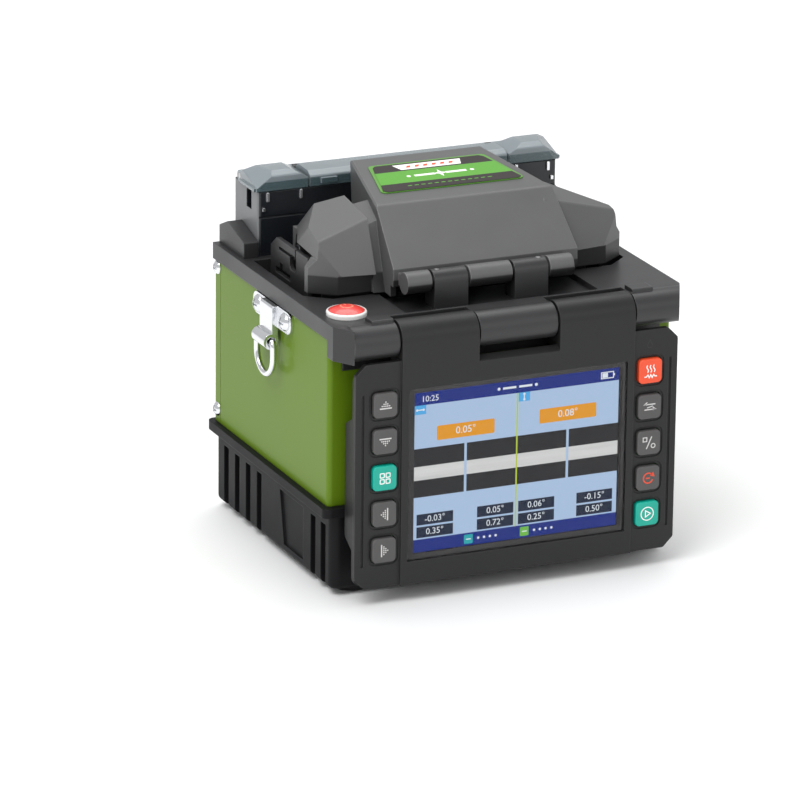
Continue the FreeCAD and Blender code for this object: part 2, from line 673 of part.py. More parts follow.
def main_hood_planes():
    """Front face, top face and the two pairs of side faces of the hood's middle part."""
    half, y, z = FOLD
    back_half, back_y, back_z = BACK_EDGE
    shoulder = vec(*HOOD_SHOULDER)
    planes = [plane_through(vec(-1, HOOD_LIP_Y, 100.1), vec(1, HOOD_LIP_Y, 100.1), vec(0, y, z)),
              plane_through(vec(-1, y, z), vec(1, y, z), vec(0, back_y, back_z))]
    fold_end = vec(half, y, z)
    back_end = vec(back_half, back_y, back_z)
    for point, normal in (plane_through(shoulder, back_end, fold_end),
                          plane_through(vec(HOOD_FRONT_HALF, HOOD_LIP_Y, 95), vec(27.6, WING_BACK, 95),
                                        vec(HOOD_FRONT_HALF, HOOD_LIP_Y, 100))):
        planes.append((point, normal))
        planes.append((vec(-point.x, point.y, point.z), vec(-normal.x, normal.y, normal.z)))
    return planes


def wing_planes(side):
    """Front band, top, side and back facets of a wing's upper part, given as on the right."""
    ridge_inner, ridge_outer = WING_RIDGE[side]
    planes = [plane_through(vec(WING_INNER, -23.8, WING_LEDGE), ridge_outer, ridge_inner)]
    if side > 0:
        back_inner, back_outer = vec(35.5, -6.4, 113.3), vec(50.9, -14.5, 107.5)
        return planes + [plane_through(ridge_inner, ridge_outer, back_inner),
                         plane_through(ridge_outer, vec(51.8, -17.2, 103.0), vec(50.2, -6.0, 106.0)),
                         plane_through(back_inner, back_outer, vec(44.0, 10.0, WING_FOOT_TOP))]
    back_inner, back_outer = vec(WING_INNER, 1.7, 115.6), vec(43.2, 5.1, 112.9)
    top_side = vec(49.9, -6.2, 109.0)
    return planes + [plane_through(ridge_inner, ridge_outer, back_inner),
                     plane_through(ridge_outer, vec(51.6, -17.0, WING_FOOT_TOP), top_side),
                     plane_through(back_outer, top_side, vec(51.0, 0.0, WING_FOOT_TOP)),
                     plane_through(back_inner, back_outer, vec(43.0, WING_BACK, 101.0))]


def corner_plane():
    """Upright facet that cuts off the wing's front corner."""
    inner_x, outer_x, outer_y = WING_CORNER
    return plane_through(vec(inner_x, WING_FOOT_FRONT, 90), vec(outer_x, outer_y, 90),
                         vec(inner_x, WING_FOOT_FRONT, 100))


def wing_part(side, x0, x1, low, inset):
    """Part of a wing's upper form between two X, behind its facets moved inwards by inset."""
    block = box(x0, x1, -30.0, WING_BACK, low, 125)
    return facet_block(block, wing_planes(side) + [corner_plane()], inset)


def wing_foot(side, inset):
    """Lower walls of a wing, with the outer top corner taken off."""
    outer_x = WING_CORNER[1]
    bottom = HOOD_BOTTOM - (1.0 if inset else 0.0)
    foot = box(WING_INNER + inset, outer_x - inset, WING_FOOT_FRONT + inset, WING_BACK - inset,
               bottom, WING_FOOT_TOP - inset)
    bevel = plane_through(vec(outer_x, 0, 98.6), vec(outer_x, 10, 98.6), vec(outer_x - 2.2, 0, WING_FOOT_TOP))
    return facet_block(foot, [corner_plane(), bevel, wing_planes(side)[0]], inset)


def hood_middle(inset):
    bottom = HOOD_BOTTOM - (1.0 if inset else 0.0)
    middle = box(-40, 40, HOOD_LIP_Y + inset, BACK_EDGE[1] - inset, bottom, 130)
    return facet_block(middle, main_hood_planes(), inset)


def edges_through(shape, points):
    """Straight edges that pass through one of the points."""
    return [edge for edge in shape.Edges if edge.Curve.TypeId == "Part::GeomLine"
            and any(edge.distToShape(Part.Vertex(point))[0] < 0.1 for point in points)]


def rounded_middle():
    """Outer form of the middle part with its fold and back edge rounded and its side ridges bevelled."""
    middle = hood_middle(0.0)
    for radius, (_, y, z) in ((FOLD_R, FOLD), (BACK_EDGE_R, BACK_EDGE)):
        middle = middle.makeFillet(radius, edges_through(middle, [vec(0, y, z)]))
    planes = main_hood_planes()
    top, right = planes[1][1], planes[2][1]
    bevel = top + right
    bevel.normalize()
    corner = vec(*BACK_EDGE) - bevel * SIDE_BEVEL
    mirrored = (vec(-corner.x, corner.y, corner.z), vec(-bevel.x, bevel.y, bevel.z))
    return facet_block(middle, [(corner, bevel), mirrored], 0.0)


def on_side(side, pieces):
    return pieces if side > 0 else [mirror_x(piece) for piece in pieces]


def hood_outside():
    """The middle part and both wings: a groove parts the left wing from it, the right one runs into it."""
    pieces = []
    for side, inner in ((-1, WING_INNER), (1, LINK_START)):
        upper = wing_part(side, inner, WING_CORNER[1], WING_LEDGE, 0.0)
        ridge = (WING_RIDGE[side][0] + WING_RIDGE[side][1]) * 0.5
        upper = upper.makeFillet(RIDGE_R, edges_through(upper, [ridge]))
        link = wing_part(side, LINK_START, WING_INNER + 0.5, HOOD_BOTTOM, GROOVE_D)
        pieces += on_side(side, [upper, link, wing_foot(side, 0.0)])
    return fuse(rounded_middle(), *pieces)


def hood_rooms():
    wall = HOOD_WALL
    rooms = [hood_middle(wall)]
    for side, inner in ((-1, WING_INNER + wall), (1, WING_ROOM_START)):
        rooms += on_side(side, [
            wing_part(side, inner, WING_CORNER[1], WING_LEDGE + wall, wall),
            wing_part(side, WING_ROOM_START, WING_INNER + wall + 0.5, HOOD_BOTTOM - 1, GROOVE_D + wall),
            wing_foot(side, wall)])
    return rooms


def hood_knuckles():
    spans = [OUTER_KNUCKLE_X, (-OUTER_KNUCKLE_X[1], -OUTER_KNUCKLE_X[0]), (-CENTRE_KNUCKLE, CENTRE_KNUCKLE)]
    knuckles = []
    for x0, x1 in spans:
        eye = rod_x(HOOD_AXIS_Y, HOOD_AXIS_Z, HINGE_R, x0, x1)
        web = box(x0, x1, HOOD_AXIS_Y, HOOD_LIP_Y + 1.0, HOOD_AXIS_Z - 1.6, HOOD_AXIS_Z + 2.2)
        knuckles += [eye, web]
    return in_hood_hinge(knuckles)


def hood_shell():
    outer = hood_outside()
    front_gap = box(-40, 40, HOOD_LIP_Y - 1, HOOD_LIP_Y + HOOD_WALL + 0.5, HOOD_BOTTOM - 1, HOOD_LIP_Z)
    side_gap = box(NOTCH_X, WING_CORNER[1] + 1, NOTCH_Y, WING_BACK + 1, HOOD_BOTTOM - 1, WING_FOOT_TOP)
    shell = cut(outer, *hood_rooms(), front_gap, side_gap, mirror_x(side_gap))
    shell = fuse(shell, *hood_knuckles())
    pin_hole = rod_x(HOOD_AXIS_Y, HOOD_AXIS_Z, HOOD_PIN_R + RUNNING, -28.0, 28.0)
    return cut(shell, *in_hood_hinge([pin_hole]))


def hood_top_z(y):
    slope = (BACK_EDGE[2] - FOLD[2]) / (BACK_EDGE[1] - FOLD[1])
    return FOLD[2] + slope * (y - FOLD[1])


def hood_label():
    """Thin plate on the hood's top face, wider towards the front."""
    thickness = 0.35
    front_y, back_y = -6.3, 16.0
    corners = [(-25.0, front_y), (25.0, front_y), (20.1, back_y), (-20.1, back_y)]
    points = [vec(x, y, hood_top_z(y)) for x, y in corners]
    point, normal = plane_through(points[0], points[1], points[2])
    plate = prism(points, normal * thickness)
    return round_edges(plate, 1.8, normal)


def from_ceiling(shape):
    """The part of the shape that lies in the room under the hood's middle part."""
    return shape.common(hood_middle(HOOD_WALL))


def pressure_feet():
    """Two sprung posts that press the bare fibres into their V-grooves."""
    posts = []
    for side in (-1, 1):
        x = side * 11.5
        post = from_ceiling(box(x - 2.0, x + 2.0, SPLICE_Y - 2.0, SPLICE_Y + 2.0, 100.0, 125))
        tip = box(x - 0.9, x + 0.9, SPLICE_Y - 0.9, SPLICE_Y + 0.9, SPLICE_Z + 0.2, 100.0)
        posts.append(fuse(post, tip))
    return Part.makeCompound(posts)


def hood_lamps():
    """Two small lamps under the ceiling that light the microscopes' view."""
    lamps = []
    for y in (SPLICE_Y - 7.0, SPLICE_Y + 7.0):
        holder = from_ceiling(rod_z(0, y, 2.6, 112.0, 125))
        lens = rod_z(0, y, 1.6, 110.4, 112.0)
        lamps.append(fuse(holder, lens))
    return Part.makeCompound(lamps)


# ---------------------------------------------------------------- splice chamber

def splice_platform():
    block = box(-PLATFORM_HALF, PLATFORM_HALF, SPLICE_Y - 20.0, SPLICE_Y + 20.0, TUB_Z, PLATFORM_Z)
    optics = box(-OPTICS_HALF, OPTICS_HALF, SPLICE_Y - OPTICS_REACH, SPLICE_Y + OPTICS_REACH,
                 TUB_Z - 1, PLATFORM_Z + 1)
    return cut(round_edges(block, 2.0, vec(0, 0, 1)), optics)


def v_groove(side):
    x0, x1 = 8.0, 16.0
    block = box(x0, x1, SPLICE_Y - 4.0, SPLICE_Y + 4.0, PLATFORM_Z, SPLICE_Z)
    groove = prism_x([(SPLICE_Y - 0.6, SPLICE_Z + 0.1), (SPLICE_Y, SPLICE_Z - 0.5),
                      (SPLICE_Y + 0.6, SPLICE_Z + 0.1)], x0 - 1, x1 + 1)
    block = cut(block, groove)
    return block if side > 0 else mirror_x(block)


def electrode_holder(side):
    """Bridge that carries one electrode over its microscope; side is -1 at the front, +1 at the rear."""
    y0, y1 = sorted((SPLICE_Y + side * 7.5, SPLICE_Y + side * 14.5))
    bridge = box(-7.0, 7.0, y0, y1, 91.2, 98.2)
    bridge = round_edges(bridge, 1.5, vec(0, 1, 0), lambda p: p.z > 98)
    legs = [box(x, x + 2.8, y0, y1, PLATFORM_Z, 91.3) for x in (-7.0, 4.2)]
    bore = rod_y(0, SPLICE_Z, ELECTRODE_R, y0 - 1, y1 + 1)
    return cut(fuse(bridge, *legs), bore)


def electrodes():
    pair = []
    for side in (-1, 1):
        taper = 3.0
        tip = vec(0, SPLICE_Y + side * ELECTRODE_GAP, SPLICE_Z)
        shoulder = tip + vec(0, side * taper, 0)
        cone = Part.makeCone(0.1, ELECTRODE_R, taper, tip, vec(0, side, 0))
        stem = Part.makeCylinder(ELECTRODE_R, 14.0, shoulder, vec(0, side, 0))
        pair.append(fuse(cone, stem))
    return Part.makeCompound(pair)


def microscope(side):
    """Objective barrel at 45 degrees below the splice point with its camera at the lower end."""
    down = vec(0, side, -1)
    down.normalize()
    point = vec(0, SPLICE_Y, SPLICE_Z)
    barrel = Part.makeCylinder(LENS_R, LENS_END - LENS_START, point + down * LENS_START, down)
    nose = Part.makeCone(1.8, LENS_R, 1.5, point + down * (LENS_START - 1.5), down)
    size = 2 * OPTICS_HALF
    camera = Part.makeBox(size, size, 4.0, vec(-size / 2, -size / 2, 0))
    camera.Placement = FreeCAD.Placement(point + down * LENS_END, FreeCAD.Rotation(vec(0, 0, 1), down))
    return fuse(nose, barrel, camera)


def clamp_base(side):
    """Fibre-coating clamp base with a groove on top and a fixed pin at the rear for its lid."""
    x0, x1 = CLAMP_BASE_X
    base = box(x0, x1, SPLICE_Y - 9.0, SPLICE_Y + 9.0, TUB_Z + 0.1, CLAMP_TOP)
    heel = box(x0, x1, SPLICE_Y + 8.9, CLAMP_AXIS_Y + 1.9, TUB_Z + 0.1, CLAMP_TOP - 0.6)
    ears = []
    for ear_x in (x0, x1 - 2.0):
        ears.append(rod_x(CLAMP_AXIS_Y, CLAMP_AXIS_Z, 1.9, ear_x, ear_x + 2.0))
        ears.append(box(ear_x, ear_x + 2.0, CLAMP_AXIS_Y - 1.9, CLAMP_AXIS_Y + 1.9,
                        CLAMP_TOP - 1, CLAMP_AXIS_Z))
    pin = rod_x(CLAMP_AXIS_Y, CLAMP_AXIS_Z, 0.8, x0 + 1, x1 - 1)
    groove = box(x0 - 1, x1 + 1, SPLICE_Y - 0.5, SPLICE_Y + 0.5, CLAMP_TOP - 0.8, CLAMP_TOP + 1)
    base = cut(fuse(base, heel, pin, *ears), groove)
    return base if side > 0 else mirror_x(base)


def clamp_lid(side):
    """Hinged lid over the clamp base, with a thumb lip at its front."""
    x0, x1 = CLAMP_BASE_X[0] + 2.3, CLAMP_BASE_X[1] - 2.3
    low, high = CLAMP_TOP + 0.2, CLAMP_TOP + 4.4
    plate = box(x0, x1, SPLICE_Y - 8.5, CLAMP_AXIS_Y - 1.0, low, high)
    plate = round_edges(plate, 1.0, vec(1, 0, 0), lambda p: p.z > high - 0.1 and p.y < SPLICE_Y)
    lip = box(x0 + 4, x1 - 4, SPLICE_Y - 11.0, SPLICE_Y - 8.4, low + 1.2, low + 2.8)
    knuckle = rod_x(CLAMP_AXIS_Y, CLAMP_AXIS_Z, 1.8, x0, x1)
    hole = rod_x(CLAMP_AXIS_Y, CLAMP_AXIS_Z, 0.8 + RUNNING, x0 - 1, x1 + 1)
    lid = cut(fuse(plate, lip, knuckle), hole)
    return lid if side > 0 else mirror_x(lid)


def guide_plate():
    """Upright plate outside each clamp that steers the fibre through its rounded slot."""
    x0, x1 = -51.2, -49.8
    top = 99.7
    outline = [(-9.0, TUB_Z), (-9.0, top), (16.2, top), (21.0, 96.1), (21.0, TUB_Z)]
    plate = prism_x(outline, x0, x1)
    slot = round_edges(box(x0 - 1, x1 + 1, 0.4, 5.6, 92.3, 97.2), 1.6, vec(1, 0, 0))
    lead_in = box(x0 - 1, x1 + 1, SPLICE_Y - 0.4, SPLICE_Y + 0.4, 96.0, top + 1)
    thin_slot = box(x0 - 1, x1 + 1, 5.0, 14.6, 96.2, 97.2)
    hook = fuse(box(x0 - 1, x1 + 1, 5.0, 17.0, 88.2, 90.2), box(x0 - 1, x1 + 1, 11.2, 13.8, 90.1, 92.0))
    return cut(plate, slot, lead_in, thin_slot, hook)


def fibre_guides():
    plate = guide_plate()
    return Part.makeCompound([plate, mirror_x(plate)])


def feed_motors():
    """Geared motor under the tub on each side, with its bracket against the tub's underside."""
    under = TUB_Z - TUB_WALL
    body = rod_x(SPLICE_Y, 68.0, 6.0, 26.0, 46.0)
    gearbox = box(22.0, 26.0, SPLICE_Y - 6.5, SPLICE_Y + 6.5, 61.5, under)
    motor = fuse(body, gearbox)
    return Part.makeCompound([motor, mirror_x(motor)])


# ---------------------------------------------------------------- heater

def heater_base():
    block = box(-HEATER_HALF, HEATER_HALF, HEATER_Y[0], HEATER_Y[1], DECK_Z, HEATER_Z)
    block = round_edges(block, 1.2, vec(0, 0, 1))
    channel = box(-HEATER_HALF + 2.5, HEATER_HALF - 2.5, TROUGH_Y[0], TROUGH_Y[1], TROUGH_Z, HEATER_Z + 1)
    end_slot = box(-HEATER_HALF - 1, HEATER_HALF + 1, END_SLOT_Y[0], END_SLOT_Y[1], END_SLOT_Z, HEATER_Z + 1)
    seam = box(-HEATER_HALF - 1, HEATER_HALF + 1, HEATER_Y[0] - 1, HEATER_Y[0] + 0.4, 102.4, 102.9)
    lugs = []
    for x0, x1 in (LUG_X, (-LUG_X[1], -LUG_X[0])):
        lugs.append(rod_x(LID_AXIS_Y, LID_AXIS_Z, LID_KNUCKLE_R, x0, x1))
        lugs.append(box(x0, x1, LID_AXIS_Y - LID_KNUCKLE_R, LID_AXIS_Y + LID_KNUCKLE_R - 0.9,
                        HEATER_Z - 1, LID_AXIS_Z))
    pin_hole = rod_x(LID_AXIS_Y, LID_AXIS_Z, LID_PIN_R, -HEATER_HALF, HEATER_HALF)
    return cut(fuse(cut(block, channel, end_slot, seam), *lugs), pin_hole)


def heater_trough():
    """Heated metal channel that the splice sleeve lies in."""
    outer = box(-TROUGH_HALF, TROUGH_HALF, TROUGH_Y[0], TROUGH_Y[1], TROUGH_Z, HEATER_Z - 0.4)
    inner = box(-TROUGH_HALF - 1, TROUGH_HALF + 1, TROUGH_Y[0] + TROUGH_T, TROUGH_Y[1] - TROUGH_T,
                TROUGH_Z + TROUGH_T, HEATER_Z + 1)
    return cut(outer, inner)


def lid_outline(inset, crown):
    """Section of a heater lid seen along X, open at the bottom when inset is above zero."""
    front, back = 28.2 + inset, LID_AXIS_Y - 1.0 - inset
    low = HEATER_Z + 0.3 - (2.0 if inset else 0.0)
    top = crown - inset
    return [(front, low), (front + 0.2, top - 1.6 + inset * 0.6), (front + 2.4 - inset * 0.5, top - 0.2),
            (back - 4.2 + inset * 0.5, top), (back, 114.4 - inset * 0.6), (back, low)]


def lid_shell(x0, x1, crown, facets=()):
    outer = prism_x(lid_outline(0.0, crown), x0, x1)
    outer = round_edges(outer, 0.8, vec(1, 0, 0), lambda p: p.z > HEATER_Z + 1)
    outer = facet_block(outer, facets, 0.0)
    inner = prism_x(lid_outline(LID_T, crown), x0 + LID_T, x1 - LID_T)
    return cut(outer, facet_block(inner, facets, LID_T))


def with_knuckle(lid, x0, x1):
    """Adds the hinge knuckle between two X, bored to turn on the pin."""
    knuckle = rod_x(LID_AXIS_Y, LID_AXIS_Z, LID_KNUCKLE_R, x0, x1)
    return cut(fuse(lid, knuckle), rod_x(LID_AXIS_Y, LID_AXIS_Z, LID_PIN_R + RUNNING, x0 - 1, x1 + 1))


def heater_lid():
    """Middle lid, whose ends reach over the hinge lugs, with a latch tab on its front."""
    lid = lid_shell(-LID_HALF, LID_HALF, LID_CROWN)
    for x0, x1 in ((LID_KNUCKLE_HALF, LID_HALF + 1), (-LID_HALF - 1, -LID_KNUCKLE_HALF)):
        lid = cut(lid, rod_x(LID_AXIS_Y, LID_AXIS_Z, LUG_CLEARANCE_R, x0, x1))
    latch = box(-31.0, -25.5, 27.2, 28.6, 112.2, 114.0)
    return with_knuckle(fuse(lid, latch), -LID_KNUCKLE_HALF, LID_KNUCKLE_HALF)


def heater_clamp(side):
    """End clamp lid with a corner facet at its outer front and a lip along its outer end."""
    x0, x1 = CLAMP_X
    corner = plane_through(vec(x1 - 0.4, 28.2, 112.6), vec(51.5, 39.5, 116.6), vec(46.3, 28.2, 117.2))
    inner_end = plane_through(vec(40.8, 28.2, CLAMP_CROWN), vec(40.8, 40.0, CLAMP_CROWN),
                              vec(x0 + 2.4, 28.2, 115.9))
    lid = lid_shell(x0, x1, CLAMP_CROWN, [corner, inner_end])
    lip = box(x1 - 0.5, x1 + 0.7, 29.0, LID_AXIS_Y - 1.8, HEATER_Z + 0.3, HEATER_Z + 1.3)
    rib = box(44.0, 48.0, 30.5, LID_AXIS_Y - 3.4, HEATER_Z + 0.4, 115.0)
    lid = with_knuckle(fuse(lid, lip, rib), x0, x1)
    return lid if side > 0 else mirror_x(lid)


def heater_pin():
    return rod_x(LID_AXIS_Y, LID_AXIS_Z, LID_PIN_R, -CLAMP_X[1], CLAMP_X[1])


def corner_blocks():
    """Wedge beside each end of the heater, standing on the deck's rear corner."""
    wedge = prism_x([(27.4, DECK_Z), (27.4, 95.2), (41.0, 98.9), (48.0, 95.9), (48.0, DECK_Z)],
                    HEATER_HALF + 0.4, DECK_HALF - 2.0)
    wedge = round_edges(wedge, 0.6, vec(1, 0, 0), lambda p: p.z > DECK_Z + 1)
    return Part.makeCompound([wedge, mirror_x(wedge)])


# ---------------------------------------------------------------- electronics

def main_board():
    board = box(-BOARD_HALF, BOARD_HALF, BOARD_Y[0], BOARD_Y[1], *BOARD_Z)
    top = BOARD_Z[1]
    chips = [box(-30.0, -8.0, -20.0, 2.0, top, top + 2.4), box(4.0, 18.0, -22.0, -8.0, top, top + 1.8),
             box(-46.0, -38.0, -10.0, 26.0, top, top + 6.0), box(26.0, 46.0, -30.0, 4.0, top, top + 14.0)]
    coils = [rod_z(-20.0 + 9 * n, 20.0, 3.2, top, top + 7.0) for n in range(4)]
    return fuse(board, *chips, *coils)


def dc_jack():
    depth = 11.0
    top = BOARD_Z[1]
    body = box(DC_X - 5.5, DC_X + 5.5, 34.0, COVER_BACK - SHEET, top, DC_Z + 5.5)
    collar = rod_y(DC_X, DC_Z, 4.1, COVER_BACK - SHEET - 0.1, COVER_BACK + 0.6)
    hole = rod_y(DC_X, DC_Z, 2.8, COVER_BACK + 0.6 - depth, COVER_BACK + 2)
    pin = rod_y(DC_X, DC_Z, 1.0, COVER_BACK - depth, COVER_BACK - 0.6)
    return fuse(cut(fuse(body, collar), hole), pin)


def usb_port():
    top = BOARD_Z[1]
    shell = box(USB_X - 6.1, USB_X + 6.1, 36.0, COVER_BACK + 0.3, USB_Z - 2.4, USB_Z + 2.4)
    shell = round_edges(shell, 0.8, vec(0, 1, 0))
    mouth = box(USB_X - 5.5, USB_X + 5.5, 39.0, COVER_BACK + 1, USB_Z - 1.8, USB_Z + 1.8)
    tongue = box(USB_X - 5.0, USB_X + 5.0, 38.5, COVER_BACK - 1.0, USB_Z + 0.2, USB_Z + 1.3)
    foot = box(USB_X - 6.1, USB_X + 6.1, 36.0, 45.0, top, USB_Z - 1.6)
    return fuse(cut(fuse(shell, foot), mouth), tongue)


def battery_pack():
    low, high = BATT_Z
    pack = box(-BATT_HALF, BATT_HALF, BATT_FRONT, BASE_BACK, low, high)
    pack = round_edges(pack, 2.0, vec(0, 1, 0))
    pull = box(-13.0, 13.0, BASE_BACK - 4.0, BASE_BACK + 1, 12.0, 18.0)
    return cut(pack, pull)


def all_parts():
    nodes = {
        "base_tray": base_tray(), "rubber_feet": rubber_feet(), "body_wrap": body_wrap(),
        "rear_cover": rear_cover(), "cover_screws": cover_screws(), "top_deck": top_deck(),
        "monitor_pins": monitor_pins(), "hood_pin": hood_pin(), "hinge_set_screws": hinge_set_screws(),
        "power_ring": power_ring(), "power_button": power_button(), "lug_screws": lug_screws(),
        "monitor_bezel": monitor_bezel(), "monitor_back": monitor_back(), "screen_glass": screen_glass(),
        "lcd_panel": lcd_panel(), "control_boards": control_boards(), "hood_shell": hood_shell(),
        "hood_label": hood_label(), "pressure_feet": pressure_feet(), "hood_lamps": hood_lamps(),
        "splice_platform": splice_platform(), "electrodes": electrodes(), "fibre_guides": fibre_guides(),
        "feed_motors": feed_motors(), "heater_base": heater_base(), "heater_trough": heater_trough(),
        "heater_lid": heater_lid(), "heater_pin": heater_pin(), "corner_blocks": corner_blocks(),
        "main_board": main_board(), "dc_jack": dc_jack(), "usb_port": usb_port(),
        "battery_pack": battery_pack(),
    }
    lug = strap_lug()
    ring = strap_ring()
    for name, side in (("left", -1), ("right", 1)):
        nodes["strap_lug_" + name] = lug if side > 0 else mirror_x(lug)
        nodes["strap_ring_" + name] = ring if side > 0 else mirror_x(ring)
        nodes["v_groove_" + name] = v_groove(side)
        nodes["clamp_base_" + name] = clamp_base(side)
        nodes["clamp_lid_" + name] = clamp_lid(side)
        nodes["heater_clamp_" + name] = heater_clamp(side)
    for name, side in (("front", -1), ("rear", 1)):
        nodes["electrode_holder_" + name] = electrode_holder(side)
        nodes["microscope_" + name] = microscope(side)
    key_names = ["up", "down", "menu", "back", "forward", "heat", "swap", "view", "reset", "start"]
    for name, (x, z) in zip(key_names, key_spots()):
        nodes["key_" + name] = key_cap(x, z)
    return nodes


os.makedirs("parts", exist_ok=True)
for node, shape in all_parts().items():
    shape.translate(vec(0, -CENTRE_Y, 0))
    shape.exportStep("parts/" + node + ".step")
    print(f"{node:24s} valid {shape.isValid()} solids {len(shape.Solids)} volume {shape.Volume:.0f}")
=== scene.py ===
import json
import math

import bmesh
import bpy
from mathutils import Matrix, Vector


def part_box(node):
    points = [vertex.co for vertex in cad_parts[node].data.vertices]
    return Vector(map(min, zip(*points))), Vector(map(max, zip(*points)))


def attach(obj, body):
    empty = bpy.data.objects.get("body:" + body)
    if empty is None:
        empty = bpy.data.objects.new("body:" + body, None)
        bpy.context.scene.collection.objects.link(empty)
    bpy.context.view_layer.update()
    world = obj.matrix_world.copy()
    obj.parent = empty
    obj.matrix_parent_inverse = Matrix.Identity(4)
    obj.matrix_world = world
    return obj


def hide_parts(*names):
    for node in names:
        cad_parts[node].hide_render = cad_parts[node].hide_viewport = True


# Looks of a compact fibre fusion splicer. Metres, +Z up, -Y towards the operator.
MM = 0.001

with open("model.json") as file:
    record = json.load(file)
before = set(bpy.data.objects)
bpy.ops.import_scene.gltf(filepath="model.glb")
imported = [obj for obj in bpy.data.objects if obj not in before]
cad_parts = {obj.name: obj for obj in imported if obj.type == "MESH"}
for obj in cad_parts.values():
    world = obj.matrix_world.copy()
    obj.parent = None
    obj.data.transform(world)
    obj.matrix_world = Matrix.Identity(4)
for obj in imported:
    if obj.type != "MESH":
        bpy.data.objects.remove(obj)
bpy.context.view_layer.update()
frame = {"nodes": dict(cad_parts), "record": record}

# ---- Camera: the direction it stands in, seen from the splicer, and its long lens
CAMERA_AZIMUTH = -24.12
CAMERA_ELEVATION = 18.38
CAMERA_ROLL = 0.65
CAMERA_PLACE = Vector((-0.7237, -1.5796, 0.6221))
LENS_MM = 257.6
SENSOR_MM = 36.0

# ---- Studio: each soft light's name, place in metres, size and watts, and the world's strength
SOFT_LIGHTS = (("key", (-0.9, -0.5, 1.5), 1.0, 18.0),
               ("top", (0.2, 0.5, 1.6), 1.3, 13.0),
               ("front", (0.4, -1.6, 0.8), 1.0, 4.0))
LIGHTS_AIM = Vector((0, 0, 0.05))
WORLD_STRENGTH = 0.65
FLOOR_HALF = 8.0

# ---- Screen: the lit area inside the glass, in millimetres from the middle of the glass
LIT_WIDTH = 70.1
LIT_HEIGHT = 52.3
LIT_TOP = 26.3
GLASS_THICKNESS = 0.8
LAYER = 0.03             # thickness of one printed or lit layer

# ---- Hood label
LABEL_SLOPE = math.atan2(3.8, 38.0)
LABEL_TAPER = 4.9        # how much narrower each half of the label is at its back
LABEL_BORDER = 0.5       # green film left round the printing
LABEL_CUT = 1.2          # corners cut off the printing
LABEL_STEPS = (0.025, 0.28, 0.71, 0.975)   # where the label's bands start and end, from front to back

# ---- Power button, in millimetres
DOME_RISE = 1.5
POWER_LINE = 0.42

# ---- Catches on the heater's front: distance from the middle, bottom and top, in millimetres
HEATER_CATCHES = ((37.8, 107.9, 110.9), (49.2, 107.8, 110.8), (50.6, 104.6, 106.0))
CATCH_HALF_WIDTH = 0.5
CATCH_LAYERS = 20

# ---- Fine surface texture of the mouldings
GRAIN_SCALE = 1500.0     # grains per metre
SOFT_EDGE = 0.45 * MM    # radius that the shader gives to sharp edges

ANTI_REFLECTION = 0.25   # share of the cover glass's mirror image that its coating leaves
HOOD_LEDGE = 96.8 * MM   # height of the hood wings' overhang, with painted shade on the walls under it that face forwards
DARK_EDGE = 114.4 * MM   # height below which the heater lids' front walls look dark


def srgb(red, green, blue):
    """Linear colour of an 8-bit display colour."""
    shares = [value / 255 for value in (red, green, blue)]
    return tuple(s / 12.92 if s <= 0.04045 else ((s + 0.055) / 1.055) ** 2.4 for s in shares)


def scaled(colour, factor):
    return tuple(min(1.0, channel * factor) for channel in colour)


def added(name, data):
    """A new object in the scene for a mesh, a light or a camera."""
    made = bpy.data.objects.new(name, data)
    bpy.context.scene.collection.objects.link(made)
    return made


# ---------------------------------------------------------------- shader building

